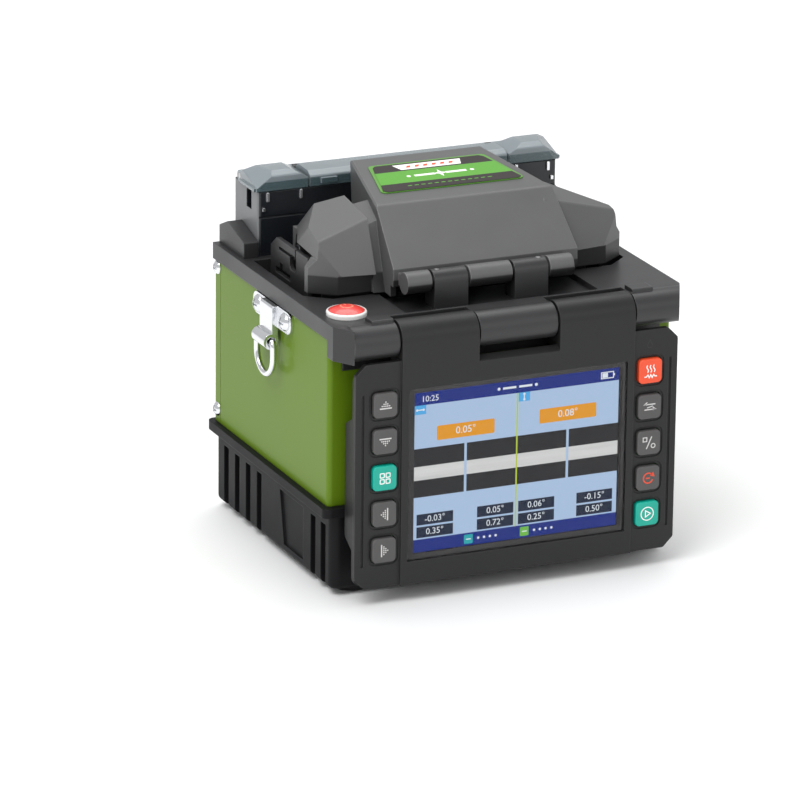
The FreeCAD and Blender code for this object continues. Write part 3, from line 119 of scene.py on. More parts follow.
class Shader:
    """A material with short calls that add nodes; arguments are values or other nodes' outputs."""

    def __init__(self, name):
        self.material = bpy.data.materials.new(name)
        self.material.use_nodes = True
        self.tree = self.material.node_tree
        self.tree.nodes.clear()
        self.place = self.node("ShaderNodeTexCoord").outputs["Object"]

    def node(self, kind, settings=None, **inputs):
        made = self.tree.nodes.new(kind)
        for key, value in (settings or {}).items():
            setattr(made, key, value)
        for key, value in inputs.items():
            self.feed(made.inputs[key.replace("_", " ")], value)
        return made

    def feed(self, socket, value):
        if isinstance(value, bpy.types.NodeSocket):
            self.tree.links.new(value, socket)
        elif socket.type == "RGBA" and len(value) == 3:
            socket.default_value = (*value, 1.0)
        else:
            socket.default_value = value

    def math(self, operation, first, second=0.0):
        made = self.node("ShaderNodeMath", {"operation": operation})
        self.feed(made.inputs[0], first)
        self.feed(made.inputs[1], second)
        return made.outputs[0]

    def noise(self, scale, detail=2.0, roughness=0.5, place=None):
        return self.node("ShaderNodeTexNoise", Vector=place or self.place, Scale=scale, Detail=detail,
                         Roughness=roughness).outputs["Fac"]

    def stretched(self, x, y, z):
        """Object coordinates with each axis scaled, for brushed or turned marks."""
        return self.node("ShaderNodeMapping", Vector=self.place, Scale=(x, y, z)).outputs[0]

    def height(self):
        return self.node("ShaderNodeSeparateXYZ", Vector=self.place).outputs["Z"]

    def blend(self, share, first, second):
        made = self.node("ShaderNodeMix", {"data_type": "RGBA"})
        self.feed(made.inputs[0], share)
        self.feed(made.inputs[6], first)
        self.feed(made.inputs[7], second)
        return made.outputs[2]

    def between(self, value, low, high, at_low=0.0, at_high=1.0):
        return self.node("ShaderNodeMapRange", Value=value, From_Min=low, From_Max=high, To_Min=at_low,
                         To_Max=at_high).outputs[0]

    def bump(self, height, depth, normal=None):
        made = self.node("ShaderNodeBump", Height=height, Distance=depth, Strength=1.0)
        if normal is not None:
            self.feed(made.inputs["Normal"], normal)
        return made.outputs[0]

    def soft_normal(self, radius=SOFT_EDGE):
        return self.node("ShaderNodeBevel", {"samples": 6}, Radius=radius).outputs[0]

    def edge_mask(self, radius=0.7 * MM):
        """One along sharp edges and zero on flat faces."""
        rounded = self.node("ShaderNodeBevel", {"samples": 6}, Radius=radius).outputs[0]
        flat = self.node("ShaderNodeNewGeometry").outputs["True Normal"]
        dot = self.node("ShaderNodeVectorMath", {"operation": "DOT_PRODUCT"})
        self.feed(dot.inputs[0], rounded)
        self.feed(dot.inputs[1], flat)
        return self.between(dot.outputs["Value"], 0.995, 0.86)

    def finish(self, shader):
        output = self.node("ShaderNodeOutputMaterial")
        self.tree.links.new(shader.outputs[0], output.inputs["Surface"])
        return self.material

    def principled(self, **inputs):
        return self.finish(self.node("ShaderNodeBsdfPrincipled", **inputs))


def moulded(name, colour, roughness=0.45, grain=0.010, specular=0.5, painted_shade_below=None):
    """Spark-eroded moulded plastic: fine grain, slight mottling, edges a little lighter from wear and from a
    painted highlight.

    Below a given height, faces that look forwards are much darker: painted shade under an overhang.
    """
    s = Shader(name)
    mottle = s.noise(38.0, 3.0)
    tone = s.blend(mottle, scaled(colour, 0.86), scaled(colour, 1.16))
    # Sharp edges are lightened: partly wear, partly a painted highlight.
    wear_and_highlight = s.math("MULTIPLY", s.edge_mask(), s.between(s.noise(240.0, 3.0), 0.35, 0.7, 0.2, 0.35))
    tone = s.blend(wear_and_highlight, tone, scaled(colour, 3.2))
    if painted_shade_below:
        # Painted shade: faces that look forwards below the given height are darkened, as if under an
        # overhang.
        low_front = s.math("MULTIPLY", facing(s, "Y", -0.2, -0.5),
                           s.between(s.height(), painted_shade_below, painted_shade_below - 0.5 * MM))
        tone = s.blend(low_front, tone, scaled(colour, 0.12))
    fine = s.noise(GRAIN_SCALE, 3.0, 0.6)
    normal = s.bump(fine, grain * MM, s.soft_normal())
    gloss = s.between(mottle, 0.3, 0.7, roughness - 0.05, roughness + 0.06)
    gloss = s.math("SUBTRACT", gloss, s.math("MULTIPLY", wear_and_highlight, 0.25))
    return s.principled(Base_Color=tone, Roughness=gloss, Normal=normal, Specular_IOR_Level=specular)


def painted(name, colour):
    """Orange-peel paint under a clear coat."""
    s = Shader(name)
    cloud = s.noise(14.0, 2.0)
    tone = s.blend(cloud, scaled(colour, 0.93), scaled(colour, 1.06))
    chipped = s.math("MULTIPLY", s.edge_mask(0.35 * MM), s.between(s.noise(420.0, 2.0), 0.58, 0.64))
    tone = s.blend(s.math("MULTIPLY", chipped, 0.55), tone, scaled(colour, 0.45))
    soft = s.soft_normal(0.6 * MM)
    peel = s.bump(s.noise(520.0, 1.0), 0.006 * MM, soft)
    return s.principled(Base_Color=tone, Roughness=s.between(cloud, 0.3, 0.7, 0.40, 0.46), Normal=peel,
                        Specular_IOR_Level=0.15, Coat_Weight=0.14, Coat_Roughness=0.16, Coat_Normal=peel)


def polished_metal(name, colour, roughness):
    """Bright plated metal with smudges and fine scratches."""
    s = Shader(name)
    smudge = s.noise(90.0, 4.0, 0.65)
    scratch = s.noise(900.0, 2.0, 0.6, s.stretched(0.08, 1.0, 1.0))
    gloss = s.between(smudge, 0.3, 0.75, roughness * 0.7, roughness * 1.7)
    tone = s.blend(smudge, scaled(colour, 0.92), scaled(colour, 1.03))
    return s.principled(Base_Color=tone, Metallic=1.0, Roughness=gloss,
                        Normal=s.bump(scratch, 0.002 * MM, s.soft_normal(0.25 * MM)))


def brushed_metal(name, colour, roughness, along):
    """Metal with fine marks that run along one axis."""
    s = Shader(name)
    scales = {"x": (0.03, 1.0, 1.0), "y": (1.0, 0.03, 1.0), "z": (1.0, 1.0, 0.03)}[along]
    marks = s.noise(2600.0, 3.0, 0.6, s.stretched(*scales))
    broad = s.noise(60.0, 2.0)
    tone = s.blend(s.math("MULTIPLY", marks, 0.6), scaled(colour, 1.08), scaled(colour, 0.72))
    gloss = s.between(broad, 0.3, 0.7, roughness - 0.05, roughness + 0.08)
    return s.principled(Base_Color=tone, Metallic=1.0, Roughness=gloss,
                        Normal=s.bump(marks, 0.004 * MM, s.soft_normal(0.25 * MM)))


def blasted_metal(name, colour, roughness):
    """Bead-blasted and anodised metal, bright where an edge has been knocked."""
    s = Shader(name)
    dimples = s.node("ShaderNodeTexVoronoi", Vector=s.place, Scale=2400.0).outputs["Distance"]
    worn = s.math("MULTIPLY", s.edge_mask(0.3 * MM), s.between(s.noise(300.0, 2.0), 0.45, 0.7))
    tone = s.blend(s.noise(30.0, 2.0), scaled(colour, 0.85), scaled(colour, 1.12))
    tone = s.blend(s.math("MULTIPLY", worn, 0.6), tone, (0.5, 0.5, 0.5))
    return s.principled(Base_Color=tone, Metallic=0.85, Roughness=roughness,
                        Normal=s.bump(dimples, 0.008 * MM, s.soft_normal(0.3 * MM)))


def rubber(name, colour):
    """Matt rubber with dust in its pores."""
    s = Shader(name)
    dust = s.between(s.noise(120.0, 4.0, 0.7), 0.5, 0.75)
    tone = s.blend(s.math("MULTIPLY", dust, 0.35), colour, scaled(colour, 2.4))
    return s.principled(Base_Color=tone, Roughness=0.82, Specular_IOR_Level=0.3,
                        Normal=s.bump(s.noise(1100.0, 3.0), 0.02 * MM, s.soft_normal()))


def silicone(name, colour, roughness=0.5, glow=0.0):
    """Key cap: smooth satin plastic, a touch brighter around its rim."""
    s = Shader(name)
    rim = s.edge_mask(0.8 * MM)
    tone = s.blend(s.noise(160.0, 3.0), scaled(colour, 0.92), scaled(colour, 1.08))
    tone = s.blend(s.math("MULTIPLY", rim, 0.35), tone, scaled(colour, 1.8))
    # The glow is painted light: a faint emission that brightens the coloured keys.
    return s.principled(Base_Color=tone, Roughness=roughness, Emission_Color=tone, Emission_Strength=glow,
                        Normal=s.bump(s.noise(1900.0, 2.0), 0.006 * MM, s.soft_normal(0.3 * MM)))


def glossy_plastic(name, colour, roughness, coat=0.6):
    """Smooth plastic or film with a slight haze."""
    s = Shader(name)
    haze = s.noise(110.0, 3.0)
    tone = s.blend(haze, scaled(colour, 0.95), scaled(colour, 1.05))
    gloss = s.between(haze, 0.3, 0.7, roughness * 0.8, roughness * 1.3)
    return s.principled(Base_Color=tone, Roughness=gloss, Coat_Weight=coat, Coat_Roughness=0.08,
                        Normal=s.bump(s.noise(700.0, 1.0), 0.002 * MM, s.soft_normal()))


def facing(s, axis, low, high):
    """One on faces whose normal's part along the axis is above high, zero below low."""
    own = s.node("ShaderNodeVectorTransform",
                 dict(vector_type="NORMAL", convert_from="WORLD", convert_to="OBJECT"),
                 Vector=s.node("ShaderNodeNewGeometry").outputs["True Normal"])
    split = s.node("ShaderNodeSeparateXYZ", Vector=own.outputs[0])
    return s.between(split.outputs[axis], low, high)


def smoky_plastic(name, colour):
    """Translucent grey moulding, darker and greener low on the faces of its front wall that look forwards."""
    s = Shader(name)
    haze = s.noise(70.0, 3.0)
    tone = s.blend(haze, scaled(colour, 0.9), scaled(colour, 1.1))
    low_front = s.math("MULTIPLY", facing(s, "Y", -0.5, -0.8),
                       s.between(s.height(), DARK_EDGE, DARK_EDGE - 0.4 * MM))
    tone = s.blend(s.math("MULTIPLY", low_front, 0.85), tone, (0.035, 0.075, 0.085))
    normal = s.bump(s.noise(900.0, 2.0), 0.005 * MM, s.soft_normal(0.5 * MM))
    return s.principled(Base_Color=tone, Roughness=0.24, Alpha=0.8, Coat_Weight=0.5, Coat_Roughness=0.12,
                        Normal=normal)


def heater_body(name, dark, pale):
    """Near-black glossy block with paler end plates."""
    s = Shader(name)
    split = s.node("ShaderNodeSeparateXYZ", Vector=s.node("ShaderNodeNewGeometry").outputs["True Normal"])
    ends = s.between(s.math("ABSOLUTE", split.outputs["X"]), 0.6, 0.8)
    mottle = s.noise(45.0, 3.0)
    tone = s.blend(ends, s.blend(mottle, scaled(dark, 0.8), scaled(dark, 1.2)),
                   s.blend(mottle, scaled(pale, 0.93), scaled(pale, 1.07)))
    fine = s.bump(s.noise(GRAIN_SCALE, 3.0, 0.6), 0.006 * MM, s.soft_normal())
    return s.principled(Base_Color=tone, Roughness=s.between(ends, 0, 1, 0.26, 0.42), Normal=fine)


def ceramic(name, colour):
    """Fired white ceramic with small dark specks."""
    s = Shader(name)
    speck = s.between(s.noise(1400.0, 2.0), 0.62, 0.72)
    tone = s.blend(s.math("MULTIPLY", speck, 0.25), colour, scaled(colour, 0.6))
    return s.principled(Base_Color=tone, Roughness=0.36, Coat_Weight=0.2,
                        Normal=s.bump(s.noise(1600.0, 2.0), 0.004 * MM, s.soft_normal(0.2 * MM)))


def circuit_board(name):
    """Green solder mask with copper tracks, and dark parts above the board's face."""
    s = Shader(name)
    cells = s.node("ShaderNodeTexBrick", {"offset": 0.37, "squash": 0.6}, Vector=s.place, Scale=210.0,
                   Mortar_Size=0.03, Color1=(0.01, 0.09, 0.035), Color2=(0.012, 0.12, 0.045),
                   Mortar=(0.05, 0.24, 0.08))
    dots = s.node("ShaderNodeTexVoronoi", Vector=s.place, Scale=420.0).outputs["Distance"]
    tone = s.blend(s.between(dots, 0.13, 0.09), cells.outputs["Color"], (0.6, 0.55, 0.42))
    return s.principled(Base_Color=tone, Roughness=0.35, Coat_Weight=0.4,
                        Normal=s.bump(cells.outputs["Fac"], 0.02 * MM))


def window_glass(name):
    """Clear cover glass: see-through, its mirror image held down by an anti-reflective coat."""
    s = Shader(name)
    wave = s.bump(s.noise(25.0, 1.0), 0.004 * MM)
    clear = s.node("ShaderNodeBsdfTransparent", Color=(0.97, 0.975, 0.98))
    mirror = s.node("ShaderNodeBsdfGlossy", Color=(1, 1, 1), Roughness=0.05, Normal=wave)
    share = s.math("MULTIPLY", s.node("ShaderNodeFresnel", IOR=1.48, Normal=wave).outputs[0], ANTI_REFLECTION)
    both = s.node("ShaderNodeMixShader", Fac=share)
    s.feed(both.inputs[1], clear.outputs[0])
    s.feed(both.inputs[2], mirror.outputs[0])
    return s.finish(both)


def lit_pixels(name, colour, streaks=0.0):
    """Part of the picture: even light, with the panel's fine pixel grid over it."""
    s = Shader(name)
    grid = s.node("ShaderNodeTexBrick", {"offset": 0.0}, Vector=s.stretched(1, 0, 1), Scale=5500.0,
                  Mortar_Size=0.012, Brick_Width=1.0, Row_Height=1.0, Color1=(1, 1, 1), Color2=(1, 1, 1),
                  Mortar=(0.86, 0.86, 0.86))
    tone = colour
    if streaks:
        run = s.between(s.noise(420.0, 3.0, 0.6, s.stretched(0.06, 1.0, 1.0)), 0.35, 0.65, 1.0 - streaks, 1.0)
        tone = s.blend(run, scaled(colour, 0.6), colour)
    mixed = s.node("ShaderNodeMix", {"data_type": "RGBA", "blend_type": "MULTIPLY"})
    s.feed(mixed.inputs[0], 1.0)
    s.feed(mixed.inputs[6], tone)
    s.feed(mixed.inputs[7], grid.outputs["Color"])
    return s.principled(Base_Color=(0.01, 0.01, 0.01), Roughness=0.6, Specular_IOR_Level=0.0,
                        Emission_Color=mixed.outputs[2], Emission_Strength=1.0)


def printed(name, colour, roughness=0.4):
    """Screen-printed ink: slightly uneven and a little raised."""
    s = Shader(name)
    patch = s.noise(600.0, 3.0, 0.6)
    tone = s.blend(patch, scaled(colour, 0.9), scaled(colour, 1.06))
    return s.principled(Base_Color=tone, Roughness=roughness, Normal=s.bump(patch, 0.004 * MM))


def floor_material():
    s = Shader("studio_floor")
    tone = s.blend(s.noise(3.0, 2.0), (0.86, 0.86, 0.86), (0.89, 0.89, 0.89))
    return s.principled(Base_Color=tone, Roughness=0.75, Normal=s.bump(s.noise(400.0, 2.0), 0.02 * MM))


def slot_materials():
    """One material for each slot of the record."""
    return {
        # The base's black plastic is darkened further as painted shade on the low base.
        "base_plastic": moulded("base_plastic", (0.007, 0.007, 0.008), 0.5, 0.014, specular=0.14),
        "deck_plastic": moulded("deck_plastic", (0.022, 0.022, 0.023), 0.38),
        "bezel_plastic": moulded("bezel_plastic", (0.016, 0.016, 0.016), 0.42, specular=0.3),
        "hood_plastic": moulded("hood_plastic", (0.092, 0.092, 0.092), 0.42, painted_shade_below=HOOD_LEDGE),
        "battery_shell": moulded("battery_shell", (0.017, 0.017, 0.018), 0.55, 0.014),
        "green_paint": painted("green_paint", (0.115, 0.205, 0.006)),
        "rubber": rubber("rubber", (0.014, 0.014, 0.014)),
        "chromed_steel": polished_metal("chromed_steel", (0.80, 0.81, 0.83), 0.13),
        "steel": brushed_metal("steel", (0.52, 0.52, 0.53), 0.3, "y"),
        "tungsten": brushed_metal("tungsten", (0.36, 0.36, 0.38), 0.4, "z"),
        "bare_aluminium": brushed_metal("bare_aluminium", (0.74, 0.75, 0.76), 0.34, "x"),
        "anodised_aluminium": blasted_metal("anodised_aluminium", (0.10, 0.10, 0.105), 0.42),
        "lens_black": blasted_metal("lens_black", (0.03, 0.03, 0.032), 0.38),
        "screen_glass": window_glass("screen_glass"),
        "lcd": glossy_plastic("lcd", (0.010, 0.010, 0.012), 0.25, 0.2),
        "circuit_board": circuit_board("circuit_board"),
        "smoky_lid": smoky_plastic("smoky_lid", (0.24, 0.28, 0.30)),
        "ceramic": ceramic("ceramic", (0.80, 0.80, 0.77)),
        "key_grey": silicone("key_grey", (0.075, 0.072, 0.071)),
        "key_teal": silicone("key_teal", (0.0, 0.36, 0.27), 0.42, 0.05),
        "key_orange": silicone("key_orange", (0.78, 0.075, 0.022), 0.42, 0.05),
        "power_white": glossy_plastic("power_white", (0.82, 0.82, 0.80), 0.25),
        "power_red": glossy_plastic("power_red", (0.80, 0.045, 0.035), 0.3),
        "label_film": glossy_plastic("label_film", (0.085, 0.28, 0.02), 0.4, 0.25),
    }


# ---------------------------------------------------------------- flat marks

def arc(u, v, radius, start, end, count=24):
    """Points of an arc, its angles in degrees."""
    steps = [math.radians(start + (end - start) * n / count) for n in range(count + 1)]
    return [(u + radius * math.cos(a), v + radius * math.sin(a)) for a in steps]


def rounded(u0, v0, u1, v1, radius):
    """Outline of a rectangle with rounded corners."""
    corners = [(u1 - radius, v0 + radius, -90), (u1 - radius, v1 - radius, 0),
               (u0 + radius, v1 - radius, 90), (u0 + radius, v0 + radius, 180)]
    return [p for u, v, start in corners for p in arc(u, v, radius, start, start + 90, 5)]


class Marks:
    """Thin closed solids laid on a plane, drawn in millimetres: u across, v up, and layers outwards."""

    def __init__(self, name, origin, across, up, height=None):
        self.name = name
        self.mesh = bmesh.new()
        self.materials = []
        across, up = Vector(across).normalized(), Vector(up).normalized()
        self.place = Matrix.Translation(Vector(origin)) @ Matrix(
            [across, up, across.cross(up)]).transposed().to_4x4() @ Matrix.Scale(MM, 4)
        self.height = height or (lambda u, v: 0.0)

    def index(self, material):
        """The material's place in the list, where it is added when it is new."""
        if material not in self.materials:
            self.materials.append(material)
        return self.materials.index(material)

    def vertices(self, outline, low, high):
        """The outline's vertices at two heights over the surface."""
        return [[self.mesh.verts.new((u, v, h + self.height(u, v))) for u, v in outline] for h in (low, high)]

    def polygon(self, outline, material, layer=0, layers=1):
        """A flat shape, several layers thick."""
        low, high = self.vertices(outline, layer * LAYER, (layer + layers) * LAYER)
        count = len(outline)
        faces = [self.mesh.faces.new(low[::-1]), self.mesh.faces.new(high)]
        for n in range(count):
            m = (n + 1) % count
            faces.append(self.mesh.faces.new((low[n], low[m], high[m], high[n])))
        for face in faces:
            face.material_index = self.index(material)

    def box(self, u0, v0, u1, v1, material, layer=0):
        self.polygon([(u0, v0), (u1, v0), (u1, v1), (u0, v1)], material, layer)

    def dot(self, u, v, radius, material, layer=0):
        self.polygon(arc(u, v, radius, 0, 345, 23), material, layer)

    def stroke(self, points, width, material, layer=0, closed=False):
        """A line of even width with mitred corners."""
        left, right = [], []
        last = len(points) - 1
        for n, point in enumerate(points):
            before = Vector(points[n - 1] if n or closed else point)
            after = Vector(points[0 if n == last and closed else min(n + 1, last)])
            here = Vector(point)
            into = (here - before).normalized() if (here - before).length > 0 else (after - here).normalized()
            out = (after - here).normalized() if (after - here).length > 0 else into
            turn = (into + out).normalized()
            side = Vector((-turn.y, turn.x)) * (width / 2 / max(0.35, turn.dot(out)))
            left.append(tuple(here + side))
            right.append(tuple(here - side))
        if closed:
            self.band(left, right, material, layer)
        else:
            self.polygon(right + left[::-1], material, layer)

    def band(self, outer, inner, material, layer=0, layers=1):
        """The ring between two outlines that have the same number of points."""
        low_out, high_out = self.vertices(outer, layer * LAYER, (layer + layers) * LAYER)
        low_in, high_in = self.vertices(inner, layer * LAYER, (layer + layers) * LAYER)
        count = len(outer)
        for n in range(count):
            m = (n + 1) % count
            for ring in ((high_out[n], high_out[m], high_in[m], high_in[n]),
                         (low_in[n], low_in[m], low_out[m], low_out[n]),
                         (low_out[n], low_out[m], high_out[m], high_out[n]),
                         (high_in[n], high_in[m], low_in[m], low_in[n])):
                self.mesh.faces.new(ring).material_index = self.index(material)

    def number(self, text, u, v, size, material, layer=0):
        """Plain figures, centred on (u, v)."""
        curve = bpy.data.curves.new("figures", "FONT")
        curve.body = text
        curve.size = size
        curve.align_x = "CENTER"
        curve.align_y = "CENTER"
        curve.extrude = LAYER / 2
        curve.resolution_u = 3
        holder = added("figures", curve)
        bpy.context.view_layer.update()
        made = bpy.data.meshes.new_from_object(holder)
        bpy.data.objects.remove(holder)
        part = bmesh.new()
        part.from_mesh(made)
        bmesh.ops.remove_doubles(part, verts=part.verts, dist=1e-5)
        bmesh.ops.translate(part, verts=part.verts, vec=(u, v, (layer + 0.5) * LAYER))
        for face in part.faces:
            face.material_index = self.index(material)
        part.to_mesh(made)
        part.free()
        self.mesh.from_mesh(made)
        bpy.data.meshes.remove(made)

    def piece(self, body, slot):
        """Turns the marks into a piece that rides on the body."""
        bmesh.ops.recalc_face_normals(self.mesh, faces=self.mesh.faces)
        self.mesh.transform(self.place)
        data = bpy.data.meshes.new(self.name)
        self.mesh.to_mesh(data)
        self.mesh.free()
        for material in self.materials:
            data.materials.append(material)
        made = added(self.name, data)
        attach(made, body)


# ---------------------------------------------------------------- monitor

def cover_glass(materials):
    """Thin glass with a bevelled front edge, and the dark border printed on its back."""
    low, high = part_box("screen_glass")
    mesh = bmesh.new()
    bmesh.ops.create_cube(mesh, size=1.0)
    size = Vector((high.x - low.x, GLASS_THICKNESS * MM, high.z - low.z))
    centre = Vector(((low.x + high.x) / 2, low.y + size.y / 2, (low.z + high.z) / 2))
    bmesh.ops.scale(mesh, vec=size, verts=mesh.verts)
    bmesh.ops.translate(mesh, vec=centre, verts=mesh.verts)
    corners = [e for e in mesh.edges if abs(e.verts[0].co.y - e.verts[1].co.y) > size.y / 2]
    bmesh.ops.bevel(mesh, geom=corners, offset=0.6 * MM, segments=4, affect="EDGES", profile=0.5)
    rim = [e for e in mesh.edges if all(v.co.y < low.y + 1e-6 for v in e.verts)]
    bmesh.ops.bevel(mesh, geom=rim, offset=0.2 * MM, segments=2, affect="EDGES", profile=0.5)
    data = bpy.data.meshes.new("cover_glass")
    mesh.to_mesh(data)
    mesh.free()
    data.materials.append(materials["screen_glass"])
    glass = added("cover_glass", data)
    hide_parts("screen_glass")
    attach(glass, "monitor")

    ink = glossy_plastic("border_ink", (0.016, 0.012, 0.011), 0.35, 0.3)
    half_u, half_v = size.x / MM / 2 - 0.15, size.z / MM / 2 - 0.15
    back = Vector((centre.x, low.y + size.y + 2 * LAYER * MM, centre.z))
    border = Marks("glass_border", back, (1, 0, 0), (0, 0, 1))
    lit_u = LIT_WIDTH / 2 + 0.1
    border.band(rounded(-half_u, -half_v, half_u, half_v, 0.5),
                rounded(-lit_u, LIT_TOP - LIT_HEIGHT - 0.1, lit_u, LIT_TOP + 0.1, 0.3), ink, 0, 2)
    border.piece("monitor", "screen_glass")


class Picture(Marks):
    """The monitor's picture: shares of the lit area, across from the left and down from the top."""

    def area(self, across0, down0, across1, down1, material, layer):
        self.box(across0 * LIT_WIDTH, -down1 * LIT_HEIGHT, across1 * LIT_WIDTH, -down0 * LIT_HEIGHT,
                 material, layer)

    def figures(self, text, across, down, size, material, layer):
        self.number(text, across * LIT_WIDTH, -down * LIT_HEIGHT, size, material, layer)


def picture_lights():
    return {
        "navy": lit_pixels("pixels_navy", srgb(5, 38, 132)),
        "sky": lit_pixels("pixels_sky", srgb(180, 205, 236)),
        "tag": lit_pixels("pixels_tag", srgb(84, 178, 240)),
        "orange": lit_pixels("pixels_orange", srgb(240, 160, 28)),
        "black": lit_pixels("pixels_black", srgb(30, 29, 32)),
        "fibre": lit_pixels("pixels_fibre", srgb(226, 226, 224), 0.3),
        "white": lit_pixels("pixels_white", srgb(236, 242, 248)),
        "line": lit_pixels("pixels_line", srgb(196, 216, 56)),
        "value": lit_pixels("pixels_value", srgb(12, 28, 56)),
        "teal": lit_pixels("pixels_teal", srgb(32, 176, 180)),
        "green": lit_pixels("pixels_green", srgb(116, 196, 68)),
    }


def screen_bars(picture, light):
    picture.area(0, 0, 1, 1, light["sky"], 0)
    picture.area(0, 0, 1, 0.080, light["navy"], 1)
    picture.area(0, 0.920, 1, 1, light["navy"], 1)
    picture.figures("10:25", 0.075, 0.044, 2.7, light["white"], 2)
    outline = [(0.912, 0.022), (0.972, 0.022), (0.972, 0.060), (0.912, 0.060)]
    corners = [(u * LIT_WIDTH, -v * LIT_HEIGHT) for u, v in outline]
    picture.stroke(corners, 0.3, light["white"], 2, closed=True)
    picture.area(0.917, 0.027, 0.944, 0.055, light["white"], 2)
    picture.area(0.974, 0.034, 0.979, 0.048, light["white"], 2)


def screen_title(picture, light):
    """Two fibre ends facing each other, in the middle of the top bar."""
    v = -0.041 * LIT_HEIGHT
    for side in (-1, 1):
        u = 0.5 * LIT_WIDTH
        picture.stroke([(u + side * 0.5, v), (u + side * 5.0, v)], 0.7, light["white"], 2)
        picture.dot(u + side * 6.4, v, 0.5, light["white"], 2)


def screen_fibre(picture, light):
    """The two fibres between dark cladding bands, with the lines that mark where they are measured."""
    picture.area(0, 0.350, 1, 0.462, light["black"], 1)
    picture.area(0, 0.462, 1, 0.548, light["fibre"], 1)
    picture.area(0, 0.548, 1, 0.655, light["black"], 1)
    for across in (0.250, 0.750):
        picture.area(across - 0.006, 0.345, across + 0.006, 0.660, light["sky"], 2)
    picture.area(0.4965, 0.080, 0.5035, 0.920, light["line"], 3)


def screen_values(picture, light):
    """Angle tags above each fibre, and two rows of boxed angles at four places."""
    for across, down, text in ((0.250, 0.265, "0.05°"), (0.750, 0.247, "0.08°")):
        outline = rounded((across - 0.14) * LIT_WIDTH, -(down + 0.045) * LIT_HEIGHT,
                          (across + 0.14) * LIT_WIDTH, -(down - 0.045) * LIT_HEIGHT, 0.5)
        picture.polygon(outline, light["orange"], 1)
        picture.figures(text, across, down, 3.3, light["white"], 2)
    columns = ((0.105, "-0.03", "0.35"), (0.400, "0.05", "0.72"),
               (0.602, "0.06", "0.25"), (0.890, "-0.15", "0.50"))
    for across, upper, lower in columns:
        for down, text in ((0.797, upper), (0.877, lower)):
            picture.area(across - 0.089, down - 0.034, across + 0.089, down + 0.034, light["value"], 1)
            picture.figures(text + "°", across, down, 2.9, light["white"], 2)


def screen_tags(picture, light):
    """A tag for each camera's view, with an arrow for its direction, and the two soft-key hints."""
    size_u, size_v = 0.056 * LIT_WIDTH, 0.056 * LIT_HEIGHT
    for across, upright in ((0.0, False), (0.5055, True)):
        u, v = across * LIT_WIDTH, -0.080 * LIT_HEIGHT - size_v
        picture.box(u, v, u + size_u, v + size_v, light["tag"], 1)
        mid_u, mid_v = u + size_u / 2, v + size_v / 2
        reach_u, reach_v = (0.0, 0.9) if upright else (1.1, 0.0)
        ends = [(mid_u - reach_u, mid_v - reach_v), (mid_u + reach_u, mid_v + reach_v)]
        picture.stroke(ends, 0.35, light["white"], 2)
        for u2, v2 in ends:
            picture.dot(u2, v2, 0.38, light["white"], 2)
    for across, colour in ((0.270, "teal"), (0.545, "green")):
        u, v = across * LIT_WIDTH, -0.96 * LIT_HEIGHT
        picture.polygon(rounded(u - 1.5, v - 1.5, u + 1.5, v + 1.5, 0.3), light[colour], 2)
        picture.stroke([(u - 0.8, v), (u + 0.8, v)], 0.35, light["white"], 3)
        for n in range(4):
            picture.dot(u + 3.4 + n * 2.0, v, 0.42, light["white"], 2)


def screen_picture():
    light = picture_lights()
    panel_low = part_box("lcd_panel")[0]
    low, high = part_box("screen_glass")
    centre = (low + high) / 2
    origin = Vector((centre.x - LIT_WIDTH / 2 * MM, panel_low.y, centre.z + LIT_TOP * MM))
    picture = Picture("screen_picture", origin, (1, 0, 0), (0, 0, 1))
    for draw in (screen_bars, screen_title, screen_fibre, screen_values, screen_tags):
        draw(picture, light)
    picture.piece("monitor", "lcd")


# ---------------------------------------------------------------- key marks

def dotted_arrow(marks, ink, turn):
    """Triangle of small dots that points away from a solid bar; turn is in quarter turns from up."""
    def spot(u, v):
        angle = math.radians(90 * turn)
        return u * math.cos(angle) - v * math.sin(angle), u * math.sin(angle) + v * math.cos(angle)

    for row, count in enumerate((1, 3, 5)):
        for n in range(count):
            u, v = spot((n - (count - 1) / 2) * 0.62, 1.15 - row * 0.66)
            marks.dot(u, v, 0.23, ink)
    ends = [spot(-2.0, -0.95), spot(2.0, -0.95)]
    marks.stroke(ends, 0.42, ink)


def menu_mark(marks, ink):
    """Four small squares."""
    for u in (-0.98, 0.98):
        for v in (-0.98, 0.98):
            marks.stroke(rounded(u - 0.68, v - 0.68, u + 0.68, v + 0.68, 0.2), 0.32, ink, closed=True)


def heat_mark(marks, ink):
    """Three rising waves over a heating coil."""
    for u in (-1.15, 0.0, 1.15):
        wave = [(u + 0.28 * math.sin(n * math.pi / 6), -0.35 + n * 0.2) for n in range(13)]
        marks.stroke(wave, 0.34, ink)
    coil = [(-2.2, -1.75), (-1.5, -1.75)]
    coil += [(-1.0 + n * 0.5, -1.15 if n % 2 == 0 else -2.1) for n in range(5)]
    marks.stroke(coil + [(1.5, -1.75), (2.2, -1.75)], 0.34, ink)


def swap_mark(marks, ink):
    """Two half arrows that point opposite ways, with a slanted line between them."""
    for side in (-1, 1):
        v = side * 0.85
        marks.stroke([(side * 1.9, v), (side * -1.9, v)], 0.36, ink)
        marks.stroke([(side * -0.95, v + 0.75), (side * -1.95, v), (side * -0.95, v - 0.2)], 0.34, ink)
    marks.stroke([(1.0, 0.25), (-1.0, -0.25)], 0.3, ink)


def view_mark(marks, ink):
    """A slash between a square and a ring: the two camera views."""
    marks.stroke([(-0.9, -2.0), (0.9, 2.0)], 0.36, ink)
    marks.stroke([(-2.1, 0.5), (-0.8, 0.5), (-0.8, 1.8), (-2.1, 1.8)], 0.3, ink, closed=True)
    marks.stroke(arc(1.45, -1.1, 0.68, 0, 345, 23), 0.3, ink, closed=True)


